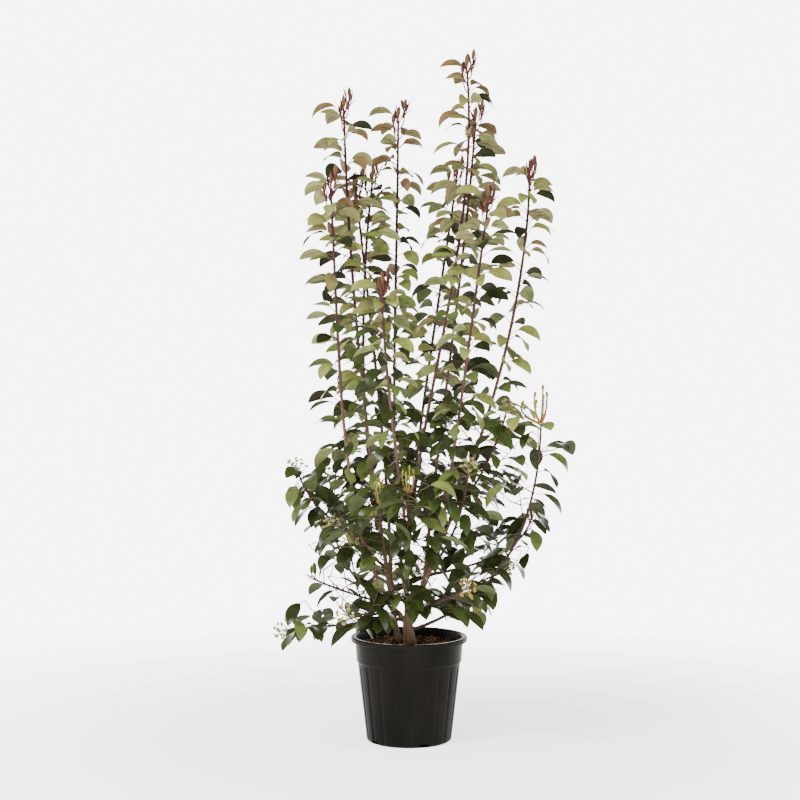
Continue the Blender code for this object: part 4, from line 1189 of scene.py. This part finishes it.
def wood_piece(name, limb, split, nodes, material):
    """One limb from its foot to the tip of its shoot, with the bark's relief."""
    tall = name in STEMS
    sides = 26 if name == "main_stem" else BARK_SIDES if tall else SIDE_BARK_SIDES
    count = int(limb.length / BARK_RING_STEP)
    distances = steps(0.0, limb.length, count)
    has_parent = not tall or STEMS[name]["parent"]
    scars = [split + distance for distance in nodes] + [0.035 * k for k in range(1, int(split / 0.035) + 1)]
    flare = stem_flare if name == "main_stem" else None
    radii = bark_radii(
        limb, distances, sides, scars, flare, 1.0 if has_parent else 0.0, SHOOT_GROWTH if tall else BOUGH_GROWTH,
    )
    centres = [limb.point(distance) for distance in distances]
    directions = [limb.direction(distance) for distance in distances]
    if not has_parent:
        if name == "second_stem":
            radii = [row * (1.0 + 0.75 * math.exp(-((d / 0.016) ** 2))) for row, d in zip(radii, distances)]
        centres[0] = centres[0] - UP * STEM_SUNK
    heap = Heap()
    heap.add(*tube_grid(centres, directions, radii, sides))
    add_piece(name + "_bark", heap.mesh(name + "_bark"), material, (name,))


# Pot and compost

BAND_TOP = POT_HEIGHT - LIP_HEIGHT
BAND_FOOT = BAND_TOP - BAND_HEIGHT
WALL_TOP = BAND_FOOT - STEP_HEIGHT
INNER_STEP_RADIUS = WALL_TOP_RADIUS - FLUTE_DEPTH - WALL_THICKNESS
INNER_BASE_RADIUS = BASE_RADIUS - FLUTE_DEPTH - WALL_THICKNESS
INNER_BAND_RADIUS = BAND_FOOT_RADIUS - WALL_THICKNESS
INNER_RIM_RADIUS = BAND_TOP_RADIUS - WALL_THICKNESS


def wall_radius(height):
    share = (height - CORNER_SIZE) / (WALL_TOP - CORNER_SIZE)
    return BASE_RADIUS + (WALL_TOP_RADIUS - BASE_RADIUS) * share


def pot_rings():
    """The pot's profile as rings of radius, height and how deep the grooves are there."""
    rings = [(0.0001, 0.0, 0.0), (0.06, 0.0, 0.0)]
    for angle in np.linspace(0.0, math.pi / 2, CORNER_RINGS):
        radius = BASE_RADIUS - CORNER_SIZE + CORNER_SIZE * math.sin(angle)
        rings.append((radius, CORNER_SIZE - CORNER_SIZE * math.cos(angle), 0.6 * math.sin(angle)))
    for height in np.linspace(CORNER_SIZE + 0.004, WALL_TOP - 0.0015, WALL_RINGS):
        fade = smooth_share(WALL_TOP - 0.003 - height, 0.0, GROOVE_FADE)
        rings.append((wall_radius(height), height, fade))
    for share in np.linspace(0.0, 1.0, 4):
        rings.append((
            WALL_TOP_RADIUS + (BAND_FOOT_RADIUS - WALL_TOP_RADIUS) * smooth_share(share, 0.0, 1.0),
            WALL_TOP + (BAND_FOOT - WALL_TOP) * share, 0.0,
        ))
    for share in np.linspace(0.08, 0.96, 8):
        rings.append((
            BAND_FOOT_RADIUS + (BAND_TOP_RADIUS - BAND_FOOT_RADIUS) * share, BAND_FOOT + BAND_HEIGHT * share, 0.0,
        ))
    rings.append((BAND_TOP_RADIUS + 0.0006, BAND_TOP - 0.0004, 0.0))
    rings.append((RIM_RADIUS - 0.0022, BAND_TOP + 0.0002, 0.0))
    rings.append((RIM_RADIUS - 0.0006, BAND_TOP + 0.0014, 0.0))
    rings.append((RIM_RADIUS, BAND_TOP + 0.0036, 0.0))
    for angle in np.linspace(0.0, math.pi / 2, LIP_RINGS):
        rings.append((
            RIM_RADIUS - LIP_ROUNDING + LIP_ROUNDING * math.cos(angle),
            POT_HEIGHT - LIP_ROUNDING + LIP_ROUNDING * math.sin(angle), 0.0,
        ))
    rings.append((INNER_RIM_RADIUS + 0.0030, POT_HEIGHT - 0.0004, 0.0))
    rings.append((INNER_RIM_RADIUS + 0.0008, POT_HEIGHT - 0.0018, 0.0))
    rings.append((INNER_RIM_RADIUS, POT_HEIGHT - 0.0040, 0.0))
    rings.append((INNER_BAND_RADIUS, BAND_FOOT + 0.002, 0.0))
    rings.append((INNER_STEP_RADIUS, WALL_TOP, 0.0))
    rings.append((INNER_BASE_RADIUS, FLOOR_THICKNESS, 0.0))
    rings.append((0.0001, FLOOR_THICKNESS, 0.0))
    return rings


def groove(angle):
    """One in the middle of a groove, falling to nothing on the broad panels between."""
    across_flute = (angle / math.tau * FLUTES + 0.5) % 1.0 - 0.5
    return math.exp(-((across_flute / GROOVE_SHARE) ** 2) * 2.0)


def turned(rings, sides, radius_at):
    """Rings of corners round the axis, from a list of rings."""
    corners = []
    for ring in rings:
        for k in range(sides):
            angle = math.tau * k / sides
            radius, height = radius_at(ring, angle)
            corners.append((radius * math.cos(angle), radius * math.sin(angle), height))
    return np.array(corners), grid_faces(len(rings), sides, wrapped=True)


def build_pot():
    heap = Heap()
    heap.add(*turned(
        pot_rings(), POT_SIDES, lambda ring, angle: (ring[0] - FLUTE_DEPTH * ring[2] * groove(angle), ring[1]),
    ))
    mesh = heap.mesh("pot_body")
    bm = bmesh.new()
    bm.from_mesh(mesh)
    bmesh.ops.remove_doubles(bm, verts=bm.verts, dist=0.00005)
    bmesh.ops.recalc_face_normals(bm, faces=bm.faces)
    bm.to_mesh(mesh)
    bm.free()
    pot = add_piece("pot_body", mesh, pot_material(), ("pot",))
    cutters = bpy.data.collections.new("notches")
    bpy.context.scene.collection.children.link(cutters)
    for k in range(NOTCH_COUNT):
        azimuth = math.radians(FIRST_NOTCH_AZIMUTH + 360.0 / NOTCH_COUNT * k)
        cutters.objects.link(notch_cutter(azimuth))
    boolean = pot.modifiers.new("notches", "BOOLEAN")
    boolean.operation = "DIFFERENCE"
    boolean.operand_type = "COLLECTION"
    boolean.collection = cutters
    graph = bpy.context.evaluated_depsgraph_get()
    cut = bpy.data.meshes.new_from_object(pot.evaluated_get(graph))
    pot.modifiers.remove(boolean)
    pot.data = cut
    for cutter in list(cutters.objects):
        bpy.data.objects.remove(cutter)
    bpy.data.collections.remove(cutters)
    cut.shade_smooth()
    cut.set_sharp_from_angle(angle=math.radians(50.0))


def notch_cutter(azimuth):
    """A block with rounded upper corners that opens a drainage notch in the pot's bottom edge."""
    out = Vector((math.cos(azimuth), math.sin(azimuth), 0.0))
    side = Vector((-out.y, out.x, 0.0))
    inner = INNER_BASE_RADIUS - NOTCH_REACH_IN
    outer = BASE_RADIUS + NOTCH_REACH_OUT
    bm = bmesh.new()
    bmesh.ops.create_cube(bm, size=1.0)
    for vert in bm.verts:
        reach = inner if vert.co.x < 0.0 else outer
        vert.co = out * reach + side * (vert.co.y * NOTCH_WIDTH) + UP * (vert.co.z * 2.0 * NOTCH_HEIGHT)
    upper = [e for e in bm.edges if all(v.co.z > 0.0 for v in e.verts)]
    along = [e for e in upper if abs((e.verts[0].co - e.verts[1].co).dot(out)) > 0.5 * (outer - inner)]
    bmesh.ops.bevel(bm, geom=along, offset=0.003, segments=3, affect="EDGES")
    mesh = bpy.data.meshes.new("notch")
    bm.to_mesh(mesh)
    bm.free()
    return bpy.data.objects.new("notch", mesh)


def soil_height(x, y):
    """The lumpy top of the compost, level round the stems."""
    lumps = noise.noise(Vector((x * 55.0, y * 55.0, 3.0))) + 0.5 * noise.noise(Vector((x * 140.0, y * 140.0, 9.0)))
    crumbs = 0.25 * noise.noise(Vector((x * 420.0, y * 420.0, 5.0)))
    away = min(math.hypot(x - STEMS[name]["foot"][0], y - STEMS[name]["foot"][1]) for name in ("main_stem", "second_stem"))
    calm = 0.25 + 0.75 * smooth_share(away, 0.015, SOIL_FLAT_REACH)
    return SOIL_TOP + SOIL_LUMP * (0.45 + (lumps + crumbs) * calm * 0.75)


def build_compost():
    wall_slope = (INNER_RIM_RADIUS - INNER_BAND_RADIUS) / BAND_HEIGHT
    edge = INNER_RIM_RADIUS - (POT_HEIGHT - SOIL_TOP) * wall_slope - 2.0 * SOIL_CLEARANCE
    rings = [
        (0.0001, FLOOR_THICKNESS + GAP, 0.0),
        (INNER_BASE_RADIUS - SOIL_CLEARANCE, FLOOR_THICKNESS + GAP, 0.0),
        (INNER_STEP_RADIUS - SOIL_CLEARANCE, WALL_TOP, 0.0),
        (INNER_BAND_RADIUS - SOIL_CLEARANCE, BAND_FOOT + 0.0035, 0.0),
        (edge, SOIL_TOP - SOIL_EDGE_DROP, 0.0),
    ]
    rings += [(edge * share, SOIL_TOP, 1.0) for share in np.linspace(0.985, 0.001, SOIL_RINGS)]

    def place(ring, angle):
        radius, height, top = ring
        if top:
            height = soil_height(radius * math.cos(angle), radius * math.sin(angle))
        return radius, height

    heap = Heap()
    heap.add(*turned(rings, SOIL_SIDES, place))
    material = crumb_material("compost_crumbs", (0.010, 0.005, 0.003), (0.075, 0.036, 0.018))
    # painted shade: the compost's sides and bottom inside the pot are darkened to black below its top
    shade_below(material, 0.12, 0.22, 0.0)
    gloss = next(node for node in material.node_tree.nodes if node.type == "BSDF_PRINCIPLED").inputs["Specular IOR Level"]
    gloss.default_value = 0.02
    add_piece("compost_top", heap.mesh("compost_top"), material, ("compost",))


def chip_shape(chance, length):
    """A small flat shard of bark with uneven corners."""
    width = length * chance.uniform(0.32, 0.75)
    height = length * chance.uniform(0.14, 0.32)
    corners = []
    for z in (0.0, 1.0):
        for k in range(6):
            angle = math.tau * k / 6 + chance.uniform(-0.3, 0.3)
            reach = chance.uniform(0.75, 1.0) * (1.0 if z == 0.0 else 0.82)
            corners.append(Vector((
                math.cos(angle) * length / 2 * reach, math.sin(angle) * width / 2 * reach,
                height * (z - 0.5) * chance.uniform(0.8, 1.15),
            )))
    faces = [(0, 3, 2, 1), (0, 5, 4, 3), (6, 7, 8, 9), (6, 9, 10, 11)]
    faces += [(k, (k + 1) % 6, 6 + (k + 1) % 6, 6 + k) for k in range(6)]
    return corners, faces


CHIP_LOOKS = {
    "chips_brown": ((0.045, 0.020, 0.010), (0.150, 0.070, 0.030)),
    "chips_orange": ((0.120, 0.048, 0.017), (0.290, 0.140, 0.055)),
    "chips_dark": ((0.010, 0.006, 0.004), (0.055, 0.030, 0.018)),
}


def build_chips():
    """Bark chips on the compost, with more of the orange ones on the left."""
    chance = draws("chips")
    heaps = {name: Heap() for name in CHIP_LOOKS}
    feet = [Vector(STEMS[name]["foot"][:2]) for name in ("main_stem", "second_stem")]
    reaches = (0.021, 0.015)
    for _ in range(CHIP_COUNT):
        away = CHIP_REACH * math.sqrt(chance.random())
        azimuth = chance.uniform(0.0, math.tau)
        place = Vector((away * math.cos(azimuth), away * math.sin(azimuth)))
        length = chance.uniform(*CHIP_LENGTHS) * (0.6 + 0.4 * chance.random())
        if any((place - foot).length < reach + length / 2 for foot, reach in zip(feet, reaches)):
            continue
        orange = 0.42 if place.x < 0.0 else 0.16
        kind = chance.choices(list(CHIP_LOOKS), (0.45, orange, 0.40))[0]
        corners, faces = chip_shape(chance, length)
        turn, tilt, lean = chance.uniform(0.0, math.tau), chance.uniform(-0.4, 0.4), chance.uniform(-0.3, 0.3)
        height = soil_height(place.x, place.y) + length * chance.uniform(0.02, 0.12)
        moved = []
        for corner in corners:
            x, y, z = corner
            y, z = y * math.cos(tilt) - z * math.sin(tilt), y * math.sin(tilt) + z * math.cos(tilt)
            x, z = x * math.cos(lean) - z * math.sin(lean), x * math.sin(lean) + z * math.cos(lean)
            x, y = x * math.cos(turn) - y * math.sin(turn), x * math.sin(turn) + y * math.cos(turn)
            moved.append((place.x + x, place.y + y, height + z))
        heaps[kind].add(moved, faces)
    for name, (dark, light) in CHIP_LOOKS.items():
        mesh = heaps[name].mesh(name)
        mesh.set_sharp_from_angle(angle=math.radians(35.0))
        add_piece(name, mesh, crumb_material(name + "_bark", dark, light, 0.8, 240.0))


# Plant

def build_plant():
    limbs = {}
    for name in STEMS:
        limbs[name] = stem_limb(name, limbs)
    for name in SIDE_BOUGHS:
        limbs[name] = side_limb(name, limbs)
    crown = Crown()
    for name, (limb, split) in limbs.items():
        crown.start_shoot(name, limb, split)
    for name in SIDE_BOUGHS:
        crown.add_twigs(name, SPARSE_TWIGS if name in FREE_BOUGHS else SIDE_TWIGS)
    crown.map_space()
    reach = {}
    for name in limbs:
        stem, *twigs = crown.shoots[name]
        if name in STEMS:
            crown.add_leaves(name, stem, TIP_LEAVES, TIP_LEAF_SHARES)
            crown.add_leaves(name, stem, TALL_LEAVES, STEM_LEAF_SHARES, TALL_CROWDING, TALL_FINER)
        else:
            crown.add_leaves(name, stem, SIDE_STEM_LEAVES, STEM_LEAF_SHARES)
            if SIDE_BOUGHS[name]["height"] < LOW_BOUGH_TOP:
                crown.add_leaves(name, (limbs[name][0], 0.0, name), LOW_BOUGH_LEAVES, LOW_BOUGH_SHARES)
        lengths = {key: limb.length for limb, _, key in twigs}
        for twig in twigs:
            limb, start, key = twig
            count = TWIGLET_LEAVES if "twiglet" in key else TWIG_LEAVES
            count = min(count, SPARSE_TWIG_LEAVES) if name in FREE_BOUGHS else count
            before = len(crown.leaves)
            crown.add_leaves(name, twig, count, TWIG_LEAF_SHARES)
            shares = [leaf["share"] for leaf in crown.leaves[before:]]
            if shares:
                parent = key.replace("twiglet", "twig")
                reach[key] = start + (limb.length - start) * max(shares)
                reach[parent] = max(reach.get(parent, 0.0), lengths[parent] * TWIGLET_SHARE)
    crown.twigs = [
        (twig, min(reach[key] + TWIG_END, twig.length))
        for name in SIDE_BOUGHS for twig, _, key in crown.shoots[name][1:] if key in reach
    ]
    build_wood(limbs, crown)
    build_leaves(crown)
    build_shoot_ends(limbs)


def build_wood(limbs, crown):
    tall_bark = bark_material("cane_bark", [
        (0.00, (0.078, 0.048, 0.027)), (0.12, (0.098, 0.062, 0.039)), (0.32, (0.108, 0.064, 0.047)),
        (0.52, (0.056, 0.026, 0.022)), (0.72, (0.027, 0.009, 0.010)), (1.00, (0.037, 0.007, 0.008)),
    ], 120.0, 0.10, 0.22, 0.22)
    side_bark = bark_material("bough_bark", [
        (0.00, (0.036, 0.022, 0.016)), (0.15, (0.034, 0.019, 0.014)), (0.40, (0.044, 0.018, 0.014)),
    ], 90.0, 0.6, 0.10, 0.12)
    for name, (limb, split) in limbs.items():
        material = tall_bark if name in STEMS else side_bark
        wood_piece(name, limb, split, crown.nodes[name], material)
    heap = Heap()
    for twig, end in crown.twigs:
        distances = steps(0.0, end, 16)
        radii = bark_radii(twig, distances, TWIG_BARK_SIDES, [])
        centres = [twig.point(distance) for distance in distances]
        directions = [twig.direction(distance) for distance in distances]
        heap.add(*tube_grid(centres, directions, radii, TWIG_BARK_SIDES))
    add_piece("side_twigs", heap.mesh("side_twigs"), side_bark)


def build_leaves(crown):
    tops = {look: Heap() for look in LEAF_LOOKS}
    unders = {look: Heap() for look in LEAF_LOOKS}
    stalks = {kind: Heap() for kind in STALK_LOOKS}
    for leaf in crown.leaves:
        look = leaf_look(leaf)
        add_leaf(leaf, tops[look], unders[look], stalks[LEAF_LOOKS[look][2]])
    masses = {"olive_leaves": list(STEMS), "dark_leaves": list(SIDE_BOUGHS)}
    for look, (top, under, _, slot, roughness, gloss) in LEAF_LOOKS.items():
        nodes = [name + "_leaves" for name in masses.get(look, [])]
        skin = leaf_material(look + "_skin", top, roughness, gloss)
        add_piece(look, tops[look].mesh(look), skin, nodes)
        back = leaf_material(look + "_back", under, 0.60, 0.08)
        add_piece(look + "_undersides", unders[look].mesh(look + "_undersides"), back)
    for kind, (colour, roughness, slot) in STALK_LOOKS.items():
        name = kind + "_leaf_stalks"
        add_piece(name, stalks[kind].mesh(name), leaf_material(name, colour, roughness, 0.10))
    print("leaves", len(crown.leaves), "twigs", len(crown.twigs))


def side_shoots(heaps, name, limb):
    """Shorter young shoots on red side stems just below the tip of a tall cane."""
    for index in range(SIDE_SHOOT_COUNT):
        chance = draws(name, "side shoot", index)
        distance = limb.length - SIDE_SHOOT_FIRST - SIDE_SHOOT_STEP * index
        root = limb.point(distance)
        out, level = outward(limb, distance, GOLDEN_ANGLE * index + chance.uniform(-0.6, 0.6))
        length = chance.uniform(*SIDE_SHOOT_LENGTHS)
        tip = root + level * (length * 0.42) + UP * length
        points = (root, root + level * (length * 0.25), root + level * (length * 0.40) + UP * (length * 0.5), tip)
        add_strand(heaps["collars"], points, (0.0019, 0.0014))
        young_shoot(heaps, tip, (UP * 3.0 + level).normalized(), name + str(index), 4)


def build_shoot_ends(limbs):
    heaps = {name: Heap() for name in FLOWER_LOOKS}
    for name, (limb, _) in limbs.items():
        kind = "young" if name in STEMS else SIDE_BOUGHS[name]["end"]
        SHOOT_BUILDERS[kind](heaps, limb.point(limb.length), limb.direction(limb.length), name)
        if name in STEMS:
            side_shoots(heaps, name, limb)
    for name, (colour, roughness, slot) in FLOWER_LOOKS.items():
        add_piece(name, heaps[name].mesh(name), leaf_material(name + "_skin", colour, roughness, 0.12))


# Stage, light and camera

def build_stage():
    """A round pale floor that fades out at its edge."""
    mesh = bpy.data.meshes.new("floor")
    bm = bmesh.new()
    bmesh.ops.create_circle(bm, cap_ends=True, radius=3.2, segments=96)
    bm.to_mesh(mesh)
    bm.free()
    floor = bpy.data.objects.new("floor", mesh)
    bpy.context.scene.collection.objects.link(floor)
    material, tree, shader = shader_parts("floor_paper")
    grain = noise_node(tree, 3.0)
    ramp = ramp_node(tree, grain.outputs["Fac"], [(0.3, (0.93, 0.93, 0.92)), (0.7, (0.95, 0.95, 0.945))])
    tree.links.new(ramp.outputs["Color"], shader.inputs["Base Color"])
    shader.inputs["Roughness"].default_value = 0.9
    shader.inputs["Specular IOR Level"].default_value = 0.1
    shader.inputs["Emission Color"].default_value = (1.0, 1.0, 0.99, 1.0)
    shader.inputs["Emission Strength"].default_value = 2.0
    place = tree.nodes.new("ShaderNodeTexCoord")
    reach = tree.nodes.new("ShaderNodeVectorMath")
    reach.operation = "LENGTH"
    fade = tree.nodes.new("ShaderNodeMapRange")
    fade.interpolation_type = "SMOOTHSTEP"
    fade.inputs["From Min"].default_value = 0.35
    fade.inputs["From Max"].default_value = 2.2
    fade.inputs["To Min"].default_value = 1.0
    fade.inputs["To Max"].default_value = 0.0
    tree.links.new(place.outputs["Object"], reach.inputs[0])
    tree.links.new(reach.outputs["Value"], fade.inputs["Value"])
    tree.links.new(fade.outputs["Result"], shader.inputs["Alpha"])
    mesh.materials.append(material)


def build_lights():
    world = bpy.data.worlds.new("studio")
    bpy.context.scene.world = world
    world.use_nodes = True
    background = world.node_tree.nodes["Background"]
    background.inputs["Color"].default_value = (1.0, 0.997, 0.99, 1.0)
    place = world.node_tree.nodes.new("ShaderNodeTexCoord")
    parts = world.node_tree.nodes.new("ShaderNodeSeparateXYZ")
    spread = world.node_tree.nodes.new("ShaderNodeMapRange")
    spread.interpolation_type = "SMOOTHSTEP"
    spread.inputs["From Min"].default_value = 0.17
    spread.inputs["From Max"].default_value = 0.32
    spread.inputs["To Min"].default_value = 7.0
    spread.inputs["To Max"].default_value = 0.45
    world.node_tree.links.new(place.outputs["Generated"], parts.inputs["Vector"])
    world.node_tree.links.new(parts.outputs["Z"], spread.inputs["Value"])
    under = world.node_tree.nodes.new("ShaderNodeMapRange")
    under.interpolation_type = "SMOOTHSTEP"
    under.inputs["From Min"].default_value = -0.45
    under.inputs["From Max"].default_value = -0.15
    under.inputs["To Min"].default_value = 0.22
    under.inputs["To Max"].default_value = 1.0
    strength = world.node_tree.nodes.new("ShaderNodeMath")
    strength.operation = "MULTIPLY"
    world.node_tree.links.new(parts.outputs["Z"], under.inputs["Value"])
    world.node_tree.links.new(spread.outputs["Result"], strength.inputs[0])
    world.node_tree.links.new(under.outputs["Result"], strength.inputs[1])
    world.node_tree.links.new(strength.outputs["Value"], background.inputs["Strength"])
    add_area_light("key_light", (-2.4, -2.6, 4.0), 2.0, 360.0)


def add_area_light(name, place, size, power):
    light = bpy.data.lights.new(name, "AREA")
    light.shape = "DISK"
    light.size = size
    light.energy = power
    thing = bpy.data.objects.new(name, light)
    thing.location = place
    aim = Vector((0.0, 0.0, 0.8)) - Vector(place)
    thing.rotation_euler = aim.to_track_quat("-Z", "Y").to_euler()
    bpy.context.scene.collection.objects.link(thing)


def build_camera():
    camera = bpy.data.cameras.new("camera")
    camera.lens = 85.0
    camera.sensor_width = 36.0
    thing = bpy.data.objects.new("camera", camera)
    thing.location = (-0.0232, -4.8, 1.065)
    thing.rotation_euler = (math.radians(90.0 - 2.32), 0.0, 0.0)
    bpy.context.scene.collection.objects.link(thing)
    bpy.context.scene.camera = thing


build_camera()
build_pot()
build_compost()
build_chips()
build_plant()
build_stage()
build_lights()
